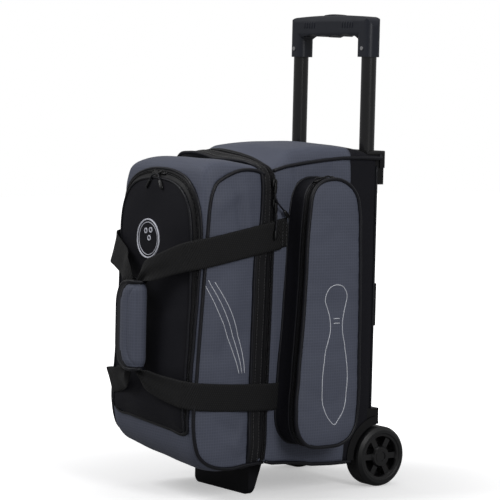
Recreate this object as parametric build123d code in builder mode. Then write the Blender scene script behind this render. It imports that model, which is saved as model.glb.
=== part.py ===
"""Upright two-ball roller bag with a telescopic tow handle, in millimetres.

Frame: origin on the floor at the middle of the bag's footprint. +Z up, -Y towards
the front pocket and carry wrap, +Y towards the tow handle and wheels, +X and -X
towards the two accessory pockets.
"""

import os
from math import cos, radians, sin

from build123d import *

os.makedirs("parts", exist_ok=True)

# ---------------------------------------------------------------- bag body
HALF_WIDTH = 122  # side fabric to the centre plane
FRONT_LOW = -206  # front face at FRONT_LOW_Z
FRONT_LOW_Z = 120
FRONT_HIGH = -188  # front face at FRONT_HIGH_Z
FRONT_HIGH_Z = 530
LID_TOP = 590
REAR_TOP = 614
REAR_FACE = 200
BOTTOM_FRONT = 62.5
BOTTOM_REAR = 50
FRONT_CORNER = 16  # upright corners in plan
REAR_CORNER = 27
BACK_START = 123  # where the grey fabric ends and the black back begins
BALL_WALL = 8  # fabric and foam lining round the balls
LID_WALL = 4
BACK_WALL = 2.5
TUBE_SPACE_TOP = 562
BACK_BOARD = (155, 158)  # board between the balls and the tow tubes

# ---------------------------------------------------------------- seam and main zip
SEAM_LOW = -53  # seam at the lid hinge height
SEAM_LEAN = 0.035
SEAM_GAP = 0.6
ZIP_BAND = 34
ZIP_PROUD = 2
HINGE_Z = 62

# ---------------------------------------------------------------- balls and foam
BALL = 216
BALL_Y = (-62, 154)
BASE_BOARD_Z = 71.5
BASE_BOARD_T = 4
FOAM_Z = 76
BALL_LOW_Z = 90
DIVIDER_T = 11
INNER_HALF = 111
FOAM_Y = (-38, 140)
CUP_R = 62

# ---------------------------------------------------------------- wheels
WHEEL_R = 54
WHEEL_Y = 206
WHEEL_IN = 93
WHEEL_OUT = 134.5
HUB_R = 41
AXLE_R = 4
RUNNING = 0.05
BUSH_R = 7
ARCH_R = 58
ARCH_OUT_R = 62
PLATE_IN = 85
PLATE_OUT = 88
SPOKES = 6
FLANGE_R = 73  # rim of the wheel housing against the bag's side
FLANGE_T = 1.6
HOUSING_FLOOR = 51
GUARD_REAR = 206.5
SOCKET_X = (81, 121)  # block that holds the foot of the guide tube
SOCKET_Y = (160, 206)
SOCKET_Z = (110.5, 141)

# ---------------------------------------------------------------- tow handle
TUBE_X = 97
TUBE_Y = 182
TUBE_R = 13.5
TUBE_WALL = 1.3
TUBE_LOW = 300
TUBE_TOP = 800
SLIDE_GAP = 0.06
GUIDE_R = 14.6
GUIDE_LOW = 121.7
GUIDE_TOP = 568
GRIP_LOW = 768
GRIP_TOP = 839.5  # at the bar's shoulders
GRIP_CROWN = 843  # at its middle
BUTTON_TOP = 845
BAR_LOW = 799
BAR_R = 13  # rounding round the bar
GRIP_SHOULDER = 18  # outer corners seen from the front
FINGER = 31  # spacing of the finger hollows under the bar
LEG_X = 36
LEG_Y = 34
LEG_R = 13
LEG_SHIFT = 2  # legs' centre inwards of the tubes
RIVET_Z = GRIP_LOW + 15
ROD_R = 2.5
PIN_R = 3
PIN_Z = 318
HOUSING_HALF = 119
HOUSING_Y = (166, 211)
HOUSING_TOP = 602
HOUSING_STEP = 571.5
HOUSING_LOW = 542
HOUSING_PLATE = 6
HOUSING_WALL_Y = 196  # front of the housing's rear wall
HOUSING_BLOCK_LOW = 562.3
FLANGE_HALF = 117
FLANGE_Y = (186, 206)
BODY_GAP = 0.3  # moulded pieces to the back panel
SKID_X = 92
SKID_W = 30
SKID_T = 6
SKID_Z = (288, 364)

# ---------------------------------------------------------------- front foot
FOOT_HALF = 80
FOOT_FRONT = -52.3
FOOT_TOP = 61.8
FOOT_SCREW_X = 50
FOOT_SCREW_Y = -40

# ---------------------------------------------------------------- accessory pockets
POCKET_X = 122.4
POCKET_SPLIT = 168
POCKET_FACE = 184
POCKET_WALL = 3
POCKET_CORNERS = ((-32, 93), (-9, 558), (103, 558), (106, 93))
POCKET_TOP_R = 48
POCKET_LOW_R = 34

# ---------------------------------------------------------------- carry loops
WEBBING = 50
WEBBING_T = 3
LOOP_X = 128.5
LOOP_PIVOT_Y = -34
WRAP_LOW = 225
WRAP_TOP = 375
WRAP_HALF = 28
WRAP_FRONT = -260
WRAP_BACK = -232
WRAP_WALL = 6


def seam_y(z):
    """Y of the leaning seam between the lid and the main compartment."""
    return SEAM_LOW + SEAM_LEAN * (z - HINGE_Z)


def write(piece, label):
    """Labels a finished piece and writes its STEP file."""
    piece.part.label = label
    export_step(piece.part, f"parts/{label}.step")


def write_mirrored(piece, label):
    """Writes the left-hand twin of a right-hand piece."""
    with BuildPart() as twin:
        mirror(piece.part, about=Plane.YZ)
    write(twin, label)


def trim_to_cross_section(grow, shoulder_z, top_z):
    """Rounds a body block across its width: straight sides and a crowned top."""
    half = HALF_WIDTH + grow
    with BuildSketch(Plane.XZ) as section:
        with BuildLine():
            Polyline((0, 20), (half, 20), (half, shoulder_z))
            ThreePointArc(
                (half, shoulder_z),
                (half - 17, shoulder_z + 26),
                (half - 62, top_z + grow - 6),
            )
            ThreePointArc(
                (half - 62, top_z + grow - 6),
                (half - 92, top_z + grow - 1.5),
                (0, top_z + grow),
            )
            Line((0, top_z + grow), (0, 20))
        make_face()
        mirror(about=Plane.YZ)
    extrude(section.sketch, amount=400, both=True, mode=Mode.INTERSECT)


def bag_plan(grow):
    """The bag from above, grown by a margin, with rounder corners at the back."""
    with BuildSketch(Plane.XY) as plan:
        with Locations((0, (FRONT_LOW + REAR_FACE) / 2)):
            Rectangle(2 * (HALF_WIDTH + grow), REAR_FACE - FRONT_LOW + 2 * grow)
        fillet(plan.vertices().group_by(Axis.Y)[0], FRONT_CORNER)
        fillet(plan.vertices().group_by(Axis.Y)[-1], REAR_CORNER)
    return plan.sketch


def trim_to_plan(grow):
    """Rounds the block's four upright corners."""
    extrude(bag_plan(grow), amount=700, mode=Mode.INTERSECT)


def lid_block(grow):
    """The lid compartment's outside, grown by a margin, cut off at the seam."""
    with BuildPart() as block:
        with BuildSketch(Plane.YZ):
            with BuildLine():
                Polyline(
                    (seam_y(HINGE_Z), BOTTOM_FRONT),
                    (-155, BOTTOM_FRONT - 1),
                )
                ThreePointArc((-155, BOTTOM_FRONT - 1), (-190, 79), (FRONT_LOW, FRONT_LOW_Z))
                Line((FRONT_LOW, FRONT_LOW_Z), (FRONT_HIGH, FRONT_HIGH_Z))
                ThreePointArc((FRONT_HIGH, FRONT_HIGH_Z), (-175.5, 570), (-136, LID_TOP))
                Polyline(
                    (-136, LID_TOP),
                    (-100, LID_TOP),
                    (seam_y(LID_TOP), LID_TOP - 4),
                    (seam_y(HINGE_Z), BOTTOM_FRONT),
                )
            make_face()
            if grow:
                offset(amount=grow)
        extrude(amount=HALF_WIDTH + grow, both=True)
        trim_to_cross_section(grow, 552, LID_TOP)
        trim_to_plan(grow)
    return block.part


def rear_block(grow):
    """The main compartment's outside, grown by a margin, from the seam to the back."""
    with BuildPart() as block:
        with BuildSketch(Plane.YZ):
            with BuildLine():
                Polyline(
                    (seam_y(HINGE_Z), BOTTOM_FRONT),
                    (-15, BOTTOM_FRONT),
                    (85, BOTTOM_REAR),
                    (REAR_FACE, BOTTOM_REAR),
                    (REAR_FACE, 592),
                    (165, 598),
                )
                ThreePointArc((165, 598), (120, 612), (70, REAR_TOP))
                Polyline((70, REAR_TOP), (10, 610), (seam_y(597), 597))
                Line((seam_y(597), 597), (seam_y(HINGE_Z), BOTTOM_FRONT))
            make_face()
            if grow:
                offset(amount=grow)
        extrude(amount=HALF_WIDTH + grow, both=True)
        trim_to_cross_section(grow, 562, REAR_TOP)
        trim_to_plan(grow)
    return block.part


def ball_space():
    """The lined space for the balls, from ahead of the seam to the back board."""
    floor = BALL_WALL
    rear_end = BACK_BOARD[0]
    with BuildPart() as block:
        with BuildSketch(Plane.YZ):
            with BuildLine():
                Polyline(
                    (-150, BOTTOM_FRONT + floor),
                    (-15, BOTTOM_FRONT + floor),
                    (85, BOTTOM_REAR + floor),
                    (rear_end, BOTTOM_REAR + floor),
                    (rear_end, 588),
                    (120, 602),
                    (10, 602),
                    (-60, 586),
                    (-150, 580),
                    close=True,
                )
            make_face()
        extrude(amount=HALF_WIDTH - BALL_WALL, both=True)
        trim_to_cross_section(-BALL_WALL, 556, REAR_TOP)
    return block.part


def slab_behind_seam(start, end, mode):
    """Keeps or cuts what lies between two distances behind the leaning seam."""
    low, high = 10, 700
    with BuildSketch(Plane.YZ) as slab:
        with BuildLine():
            Polyline(
                (seam_y(low) + start, low),
                (seam_y(low) + end, low),
                (seam_y(high) + end, high),
                (seam_y(high) + start, high),
                close=True,
            )
        make_face()
    extrude(slab.sketch, amount=200, both=True, mode=mode)


def box_between(low, high, mode=Mode.ADD):
    """A box from its lowest to its highest corner."""
    size = [b - a for a, b in zip(low, high)]
    centre = [(a + b) / 2 for a, b in zip(low, high)]
    with Locations(tuple(centre)):
        Box(*size, mode=mode)


def wheel_disc(x_low, x_high, radius, mode=Mode.ADD):
    """A disc about the wheel's axis."""
    with BuildSketch(Plane.YZ.offset(x_low)) as disc:
        with Locations((WHEEL_Y, WHEEL_R)):
            Circle(radius)
    extrude(disc.sketch, amount=x_high - x_low, mode=mode)


LID_OUTSIDE = lid_block(0)
LID_CLEAR = lid_block(0.2)
LID_ZIP_OUTSIDE = lid_block(ZIP_PROUD)
LID_INSIDE = lid_block(-LID_WALL)
REAR_OUTSIDE = rear_block(0)
REAR_CLEAR = rear_block(0.2)
REAR_ZIP_OUTSIDE = rear_block(ZIP_PROUD)
BALL_SPACE = ball_space()

# ================================================================ lid
with BuildPart() as lid_shell:
    add(LID_OUTSIDE)
    slab_behind_seam(-300, -SEAM_GAP, Mode.INTERSECT)
    add(LID_INSIDE, mode=Mode.SUBTRACT)
    with BuildSketch(Plane.XZ.offset(-seam_y(300) - 20)):
        with Locations((0, 322)):
            RectangleRounded(2 * (HALF_WIDTH - 10), 490, 30)
    extrude(amount=60, both=True, mode=Mode.SUBTRACT)
write(lid_shell, "lid_shell")

with BuildPart() as zip_band_front:
    add(LID_ZIP_OUTSIDE)
    slab_behind_seam(-ZIP_BAND, -SEAM_GAP, Mode.INTERSECT)
    add(LID_CLEAR, mode=Mode.SUBTRACT)
    box_between((-200, -300, 0), (200, 0, 70), Mode.SUBTRACT)
write(zip_band_front, "zip_band_front")

front_lean = (FRONT_HIGH - FRONT_LOW) / (FRONT_HIGH_Z - FRONT_LOW_Z)
FRONT_PLANE = Plane(
    origin=(0, FRONT_LOW, FRONT_LOW_Z), x_dir=(1, 0, 0), z_dir=(0, -1, front_lean)
)
FRONT_POCKET_HALF = 112
FRONT_POCKET_LOW = 128
FRONT_POCKET_TOP = 538
FRONT_POCKET_R = 66
FRONT_ZIP_W = 13
FRONT_GAP = 0.9  # clearance to the lid face
FRONT_ZIP_T = 7
FRONT_PANEL_T = 10


def front_pocket_outline(inset):
    """The arched pocket outline on the front face, straight along its bottom."""
    half = FRONT_POCKET_HALF - inset
    height = FRONT_POCKET_TOP - FRONT_POCKET_LOW - inset
    with BuildSketch(FRONT_PLANE.offset(FRONT_GAP)) as outline:
        with Locations((0, FRONT_POCKET_LOW - FRONT_LOW_Z + height / 2)):
            Rectangle(2 * half, height)
        fillet(outline.vertices().group_by(Axis.Y)[-1], FRONT_POCKET_R - inset)
    return outline.sketch


with BuildPart() as front_pocket_panel:
    extrude(front_pocket_outline(FRONT_ZIP_W + 0.4), amount=FRONT_PANEL_T)
write(front_pocket_panel, "front_pocket_panel")

with BuildPart() as front_pocket_zip:
    extrude(front_pocket_outline(0), amount=FRONT_ZIP_T)
    extrude(front_pocket_outline(FRONT_ZIP_W), amount=FRONT_ZIP_T, mode=Mode.SUBTRACT)
write(front_pocket_zip, "front_pocket_zip")

SLIDER_X = 12
with BuildPart() as front_pocket_sliders:
    with BuildSketch(FRONT_PLANE.offset(FRONT_GAP + FRONT_ZIP_T + 0.2)):
        with Locations(
            (-SLIDER_X, FRONT_POCKET_TOP - FRONT_LOW_Z - FRONT_ZIP_W / 2),
            (SLIDER_X, FRONT_POCKET_TOP - FRONT_LOW_Z - FRONT_ZIP_W / 2),
        ):
            RectangleRounded(16, 11, 3)
    extrude(amount=4)
write(front_pocket_sliders, "front_pocket_sliders")

# ================================================================ main compartment
with BuildPart() as main_shell:
    add(REAR_OUTSIDE)
    slab_behind_seam(SEAM_GAP, 400, Mode.INTERSECT)
    box_between((-200, BACK_START, 0), (200, 300, 700), Mode.SUBTRACT)
    add(BALL_SPACE, mode=Mode.SUBTRACT)
    with Locations((FOOT_SCREW_X, FOOT_SCREW_Y, 66), (-FOOT_SCREW_X, FOOT_SCREW_Y, 66)):
        Cylinder(2.6, 20, mode=Mode.SUBTRACT)
write(main_shell, "main_shell")

with BuildPart() as zip_band_rear:
    add(REAR_ZIP_OUTSIDE)
    slab_behind_seam(SEAM_GAP, 4.5, Mode.INTERSECT)
    add(REAR_CLEAR, mode=Mode.SUBTRACT)
    box_between((-200, -300, 0), (200, 0, 70), Mode.SUBTRACT)
write(zip_band_rear, "zip_band_rear")

WELL_X = 80.5
with BuildPart() as back_shell:
    add(REAR_OUTSIDE)
    box_between((-200, -300, 0), (200, BACK_START + 0.2, 700), Mode.SUBTRACT)
    add(BALL_SPACE, mode=Mode.SUBTRACT)
    # space for the tow tubes behind the board
    with BuildSketch(Plane.XY.offset(BOTTOM_REAR + BACK_WALL)) as tube_space:
        with Locations((0, (BACK_BOARD[1] + REAR_FACE - BACK_WALL) / 2)):
            Rectangle(2 * (HALF_WIDTH - BACK_WALL), REAR_FACE - BACK_WALL - BACK_BOARD[1])
        fillet(tube_space.vertices().group_by(Axis.Y)[-1], REAR_CORNER - BACK_WALL)
    extrude(amount=TUBE_SPACE_TOP - BOTTOM_REAR - BACK_WALL, mode=Mode.SUBTRACT)
    # room for the wheel housings and the foot of each guide tube
    for side in (-1, 1):
        with BuildSketch(Plane.YZ.offset(side * WELL_X)):
            with Locations((WHEEL_Y, WHEEL_R)):
                Circle(ARCH_OUT_R + 0.8)
            with Locations((sum(SOCKET_Y) / 2, sum(SOCKET_Z) / 2)):
                Rectangle(SOCKET_Y[1] - SOCKET_Y[0] + 1, SOCKET_Z[1] - SOCKET_Z[0] + 1)
        extrude(amount=side * 50, mode=Mode.SUBTRACT)
    # room for the moulded top
    box_between(
        (-HOUSING_HALF - 0.4, HOUSING_Y[0] - 0.6, TUBE_SPACE_TOP - 1),
        (HOUSING_HALF + 0.4, 240, 700),
        Mode.SUBTRACT,
    )
write(back_shell, "back_shell")

with BuildPart() as base_board:
    box_between(
        (-INNER_HALF, FOAM_Y[0] - 8, BASE_BOARD_Z),
        (INNER_HALF, FOAM_Y[1], BASE_BOARD_Z + BASE_BOARD_T),
    )
    with Locations((FOOT_SCREW_X, FOOT_SCREW_Y, 73), (-FOOT_SCREW_X, FOOT_SCREW_Y, 73)):
        Cylinder(2.6, 20, mode=Mode.SUBTRACT)
write(base_board, "base_board")


def foam_ring(z_low, thickness, y_low):
    """A foam slab with a round seat that a ball settles into."""
    box_between((-INNER_HALF, y_low, z_low), (INNER_HALF, FOAM_Y[1], z_low + thickness))
    with Locations((0, sum(BALL_Y) / 2, z_low + thickness / 2)):
        Cylinder(CUP_R, thickness + 2, mode=Mode.SUBTRACT)


with BuildPart() as foam_base:
    foam_ring(FOAM_Z, BALL_LOW_Z - FOAM_Z - 0.5, FOAM_Y[0] + 12)
write(foam_base, "foam_base")

with BuildPart() as foam_divider:
    foam_ring(BALL_LOW_Z + BALL + 0.5, DIVIDER_T, FOAM_Y[0] + 12)
write(foam_divider, "foam_divider")

# ================================================================ front foot
with BuildPart() as front_foot:
    with BuildSketch(Plane.YZ):
        with BuildLine():
            Polyline(
                (FOOT_FRONT, 0),
                (FOOT_FRONT + 10, 0),
                (FOOT_FRONT + 31, FOOT_TOP),
                (FOOT_FRONT, FOOT_TOP),
                close=True,
            )
        make_face()
    extrude(amount=FOOT_HALF, both=True)
    with BuildSketch(Plane.XZ) as foot_face:
        with Locations((0, FOOT_TOP / 2)):
            Rectangle(2 * FOOT_HALF, FOOT_TOP)
        fillet(foot_face.vertices().group_by(Axis.Y)[0], 12)
    extrude(amount=100, both=True, mode=Mode.INTERSECT)
    with BuildSketch(Plane.YZ):
        with BuildLine():
            Polyline(
                (FOOT_FRONT + 3.5, 12),
                (FOOT_FRONT + 9.5, 12),
                (FOOT_FRONT + 27, FOOT_TOP + 1),
                (FOOT_FRONT + 3.5, FOOT_TOP + 1),
                close=True,
            )
        make_face()
    extrude(amount=FOOT_HALF - 14, both=True, mode=Mode.SUBTRACT)
    with BuildSketch(Plane.XY.offset(30)):
        with Locations((FOOT_SCREW_X, FOOT_SCREW_Y + 0.5), (-FOOT_SCREW_X, FOOT_SCREW_Y + 0.5)):
            Rectangle(12, 19)
    extrude(amount=FOOT_TOP - 30)
    with Locations((FOOT_SCREW_X, FOOT_SCREW_Y, 50), (-FOOT_SCREW_X, FOOT_SCREW_Y, 50)):
        Cylinder(2.55, 30, mode=Mode.SUBTRACT)
write(front_foot, "front_foot")

with BuildPart() as foot_screws:
    for side in (-1, 1):
        with BuildSketch(Plane.XY.offset(38)):
            with Locations((side * FOOT_SCREW_X, FOOT_SCREW_Y)):
                Circle(2.5)
        extrude(amount=BASE_BOARD_Z + BASE_BOARD_T - 38)
        with BuildSketch(Plane.XY.offset(BASE_BOARD_Z + BASE_BOARD_T)):
            with Locations((side * FOOT_SCREW_X, FOOT_SCREW_Y)):
                Circle(5)
        extrude(amount=2.4)
write(foot_screws, "foot_screws")

# ================================================================ wheel housing, right
with BuildPart() as wheel_housing_right:
    wheel_disc(PLATE_IN, POCKET_X + FLANGE_T, ARCH_OUT_R)
    box_between(*zip(SOCKET_X, SOCKET_Y, SOCKET_Z))
    wheel_disc(POCKET_X, POCKET_X + FLANGE_T, FLANGE_R)
    box_between((0, GUARD_REAR, 20), (200, 300, 160), Mode.SUBTRACT)
    box_between((0, 100, -30), (200, 300, HOUSING_FLOOR), Mode.SUBTRACT)
    box_between((POCKET_X - 1, REAR_FACE - 0.2, HOUSING_FLOOR), (200, 240, 160), Mode.SUBTRACT)
    wheel_disc(PLATE_OUT, 140, ARCH_R, Mode.SUBTRACT)
    with BuildSketch(Plane.YZ.offset(PLATE_IN)):
        with BuildLine():
            Polyline((165, 60), (172, 42), (200, 38), (218, 44), (220, 66), (206, 80), close=True)
        make_face()
    extrude(amount=PLATE_OUT - PLATE_IN)
    wheel_disc(PLATE_IN, WHEEL_IN - 0.6, 10)
    wheel_disc(PLATE_IN - 5, WHEEL_IN, AXLE_R + 0.03, Mode.SUBTRACT)
    with Locations((TUBE_X, TUBE_Y, GUIDE_LOW + 9.8)):
        Cylinder(GUIDE_R + 0.1, 20, mode=Mode.SUBTRACT)
write(wheel_housing_right, "wheel_housing_right")
write_mirrored(wheel_housing_right, "wheel_housing_left")

# ================================================================ wheel, right
WHEEL_AXIS = Axis((0, WHEEL_Y, WHEEL_R), (1, 0, 0))
WHEEL_PLANE = Plane(origin=(0, WHEEL_Y, WHEEL_R), x_dir=(1, 0, 0), z_dir=(0, 0, 1))

with BuildPart() as wheel_tyre_right:
    with BuildSketch(WHEEL_PLANE):
        with BuildLine():
            Polyline(
                (WHEEL_IN + 0.5, HUB_R),
                (WHEEL_IN + 0.5, WHEEL_R - 5),
                (WHEEL_IN + 4, WHEEL_R - 0.8),
                (WHEEL_IN + 7, WHEEL_R),
                (WHEEL_OUT - 8, WHEEL_R),
                (WHEEL_OUT - 4.5, WHEEL_R - 1.2),
                (WHEEL_OUT, WHEEL_R - 6.5),
                (WHEEL_OUT, HUB_R + 1.5),
                (WHEEL_OUT - 1.5, HUB_R),
                close=True,
            )
        make_face()
    revolve(axis=WHEEL_AXIS)
write(wheel_tyre_right, "wheel_tyre_right")
write_mirrored(wheel_tyre_right, "wheel_tyre_left")

with BuildPart() as wheel_hub_right:
    with BuildSketch(WHEEL_PLANE):
        with BuildLine():
            Polyline(
                (WHEEL_IN + 1, BUSH_R + 0.02),
                (WHEEL_IN + 1, HUB_R - 0.02),
                (WHEEL_OUT - 2, HUB_R - 0.02),
                (WHEEL_OUT - 2.5, HUB_R - 4),
                (WHEEL_OUT - 6, HUB_R - 6),
                (WHEEL_OUT - 6, 20),
                (WHEEL_OUT - 1.5, 17),
                (WHEEL_OUT - 1.5, 12.5),
                (WHEEL_OUT - 8, 12.5),
                (WHEEL_OUT - 8, BUSH_R + 0.02),
                close=True,
            )
        make_face()
    revolve(axis=WHEEL_AXIS)
    with BuildSketch(mode=Mode.PRIVATE) as pocket:
        with BuildLine():
            Polyline((19, -5), (33, -13))
            ThreePointArc((33, -13), (35.5, 0), (33, 13))
            Polyline((33, 13), (19, 5), (19, -5))
        make_face()
        fillet(pocket.vertices(), 2)
    with BuildSketch(Plane.YZ.offset(WHEEL_OUT - 24)) as pockets:
        with Locations((WHEEL_Y, WHEEL_R)):
            with PolarLocations(0, SPOKES, start_angle=30):
                add(pocket.sketch)
    extrude(amount=30, mode=Mode.SUBTRACT)
write(wheel_hub_right, "wheel_hub_right")
write_mirrored(wheel_hub_right, "wheel_hub_left")

with BuildPart() as wheel_bush_right:
    wheel_disc(WHEEL_IN + 0.2, WHEEL_OUT - 9, BUSH_R)
    wheel_disc(WHEEL_IN - 1, WHEEL_OUT, AXLE_R + RUNNING, Mode.SUBTRACT)
write(wheel_bush_right, "wheel_bush_right")
write_mirrored(wheel_bush_right, "wheel_bush_left")

with BuildPart() as wheel_cap_right:
    wheel_disc(WHEEL_OUT - 7.5, WHEEL_OUT - 1, 12.4)
    wheel_disc(WHEEL_OUT - 2.5, WHEEL_OUT, 9, Mode.SUBTRACT)
write(wheel_cap_right, "wheel_cap_right")
write_mirrored(wheel_cap_right, "wheel_cap_left")

with BuildPart() as wheel_axle_right:
    wheel_disc(PLATE_IN - 2.6, PLATE_IN - 0.1, 7)
    wheel_disc(PLATE_IN - 0.1, WHEEL_OUT - 8.5, AXLE_R)
write(wheel_axle_right, "wheel_axle_right")
write_mirrored(wheel_axle_right, "wheel_axle_left")

# ================================================================ tow handle guides
with BuildPart() as guide_tube_right:
    with BuildSketch(Plane.XY.offset(GUIDE_LOW)):
        with Locations((TUBE_X, TUBE_Y)):
            Circle(GUIDE_R)
            Circle(TUBE_R + SLIDE_GAP, mode=Mode.SUBTRACT)
    extrude(amount=GUIDE_TOP - GUIDE_LOW)
write(guide_tube_right, "guide_tube_right")
write_mirrored(guide_tube_right, "guide_tube_left")

with BuildPart() as tube_top_housing:
    # the flange down the back panel, shaped to the bag's rounded corners
    box_between(
        (-FLANGE_HALF, FLANGE_Y[0], HOUSING_LOW), (FLANGE_HALF, FLANGE_Y[1], HOUSING_STEP)
    )
    extrude(bag_plan(BODY_GAP), amount=700, mode=Mode.SUBTRACT)
    # top plate and rear wall
    with BuildSketch(Plane.XY.offset(HOUSING_STEP)) as housing_top:
        with Locations((0, sum(HOUSING_Y) / 2)):
            Rectangle(2 * HOUSING_HALF, HOUSING_Y[1] - HOUSING_Y[0])
        fillet(housing_top.vertices().group_by(Axis.Y)[-1], 8)
    extrude(amount=HOUSING_TOP - HOUSING_STEP)
    box_between(
        (-HOUSING_HALF, HOUSING_Y[0], HOUSING_STEP),
        (HOUSING_HALF, HOUSING_WALL_Y, HOUSING_TOP - HOUSING_PLATE),
        Mode.SUBTRACT,
    )
    # a block round each tube
    for side in (-1, 1):
        box_between(
            (side * TUBE_X - 20, HOUSING_Y[0], HOUSING_BLOCK_LOW),
            (side * TUBE_X + 20, HOUSING_WALL_Y + 3, HOUSING_TOP),
        )
    # rounded shoulders
    with BuildSketch(Plane.XZ.offset(-HOUSING_Y[0] + 1)) as shoulders:
        with Locations((0, (HOUSING_LOW + HOUSING_TOP) / 2)):
            Rectangle(2 * HOUSING_HALF, HOUSING_TOP - HOUSING_LOW)
        fillet(shoulders.vertices().group_by(Axis.Y)[-1], 8)
    extrude(amount=-60, mode=Mode.INTERSECT)
    with Locations((TUBE_X, TUBE_Y, 580), (-TUBE_X, TUBE_Y, 580)):
        Cylinder(TUBE_R + SLIDE_GAP, 60, mode=Mode.SUBTRACT)
    with Locations((TUBE_X, TUBE_Y, GUIDE_TOP - 5), (-TUBE_X, TUBE_Y, GUIDE_TOP - 5)):
        Cylinder(GUIDE_R + 0.1, 12, mode=Mode.SUBTRACT)
write(tube_top_housing, "tube_top_housing")

with BuildPart() as back_skid_right:
    with BuildSketch(Plane.XY.offset(SKID_Z[0])) as skid:
        with Locations((SKID_X, REAR_FACE + BODY_GAP + SKID_T / 2)):
            Rectangle(SKID_W, SKID_T)
        fillet(skid.vertices().group_by(Axis.Y)[-1], 2.5)
    extrude(amount=SKID_Z[1] - SKID_Z[0])
write(back_skid_right, "back_skid_right")
write_mirrored(back_skid_right, "back_skid_left")

# ================================================================ tow handle
with BuildPart() as tow_tube_right:
    with BuildSketch(Plane.XY.offset(TUBE_LOW)):
        with Locations((TUBE_X, TUBE_Y)):
            Circle(TUBE_R)
            Circle(TUBE_R - TUBE_WALL, mode=Mode.SUBTRACT)
    extrude(amount=TUBE_TOP - TUBE_LOW)
    with BuildSketch(Plane.XZ.offset(-TUBE_Y)):
        with Locations((TUBE_X, PIN_Z)):
            Circle(PIN_R + 0.1)
    extrude(amount=-30, mode=Mode.SUBTRACT)
write(tow_tube_right, "tow_tube_right")
write_mirrored(tow_tube_right, "tow_tube_left")

with BuildPart() as tube_plugs:
    for side in (-1, 1):
        with BuildSketch(Plane.XY.offset(TUBE_LOW + 2)):
            with Locations((side * TUBE_X, TUBE_Y)):
                Circle(TUBE_R - TUBE_WALL - 0.05)
                Circle(ROD_R + 0.3, mode=Mode.SUBTRACT)
        extrude(amount=32)
    with BuildSketch(Plane.XZ.offset(-TUBE_Y)):
        with Locations((TUBE_X, PIN_Z), (-TUBE_X, PIN_Z)):
            Circle(PIN_R + 0.08)
    extrude(amount=-30, mode=Mode.SUBTRACT)
write(tube_plugs, "tube_plugs")

with BuildPart() as lock_pins:
    with BuildSketch(Plane.XZ.offset(-(TUBE_Y + 5.2))):
        with Locations((TUBE_X, PIN_Z), (-TUBE_X, PIN_Z)):
            Circle(PIN_R)
    extrude(amount=-(TUBE_R - 5.6))
write(lock_pins, "lock_pins")

LINK_LOW = 817
LINK_T = 6
with BuildPart() as release_link:
    box_between(
        (-TUBE_X - 4, TUBE_Y - 4, LINK_LOW), (TUBE_X + 4, TUBE_Y + 4, LINK_LOW + LINK_T)
    )
    with BuildSketch(Plane.XY.offset(TUBE_LOW + 8)):
        with Locations((TUBE_X, TUBE_Y), (-TUBE_X, TUBE_Y)):
            Circle(ROD_R)
    extrude(amount=LINK_LOW - TUBE_LOW - 8)
write(release_link, "release_link")

BUTTON_HALF = 24
BUTTON_Y = 7
BUTTON_EDGE = BUTTON_TOP - 1.5
with BuildPart() as release_button:
    with BuildSketch(Plane.XZ.offset(-TUBE_Y)):
        with BuildLine():
            Polyline(
                (-BUTTON_HALF, BUTTON_EDGE),
                (-BUTTON_HALF, LINK_LOW + LINK_T + 0.05),
                (BUTTON_HALF, LINK_LOW + LINK_T + 0.05),
                (BUTTON_HALF, BUTTON_EDGE),
            )
            ThreePointArc(
                (BUTTON_HALF, BUTTON_EDGE), (0, BUTTON_TOP), (-BUTTON_HALF, BUTTON_EDGE)
            )
        make_face()
    extrude(amount=BUTTON_Y, both=True)
    fillet(release_button.faces().sort_by(Axis.Z)[-1].edges(), 1.2)
write(release_button, "release_button")

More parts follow.
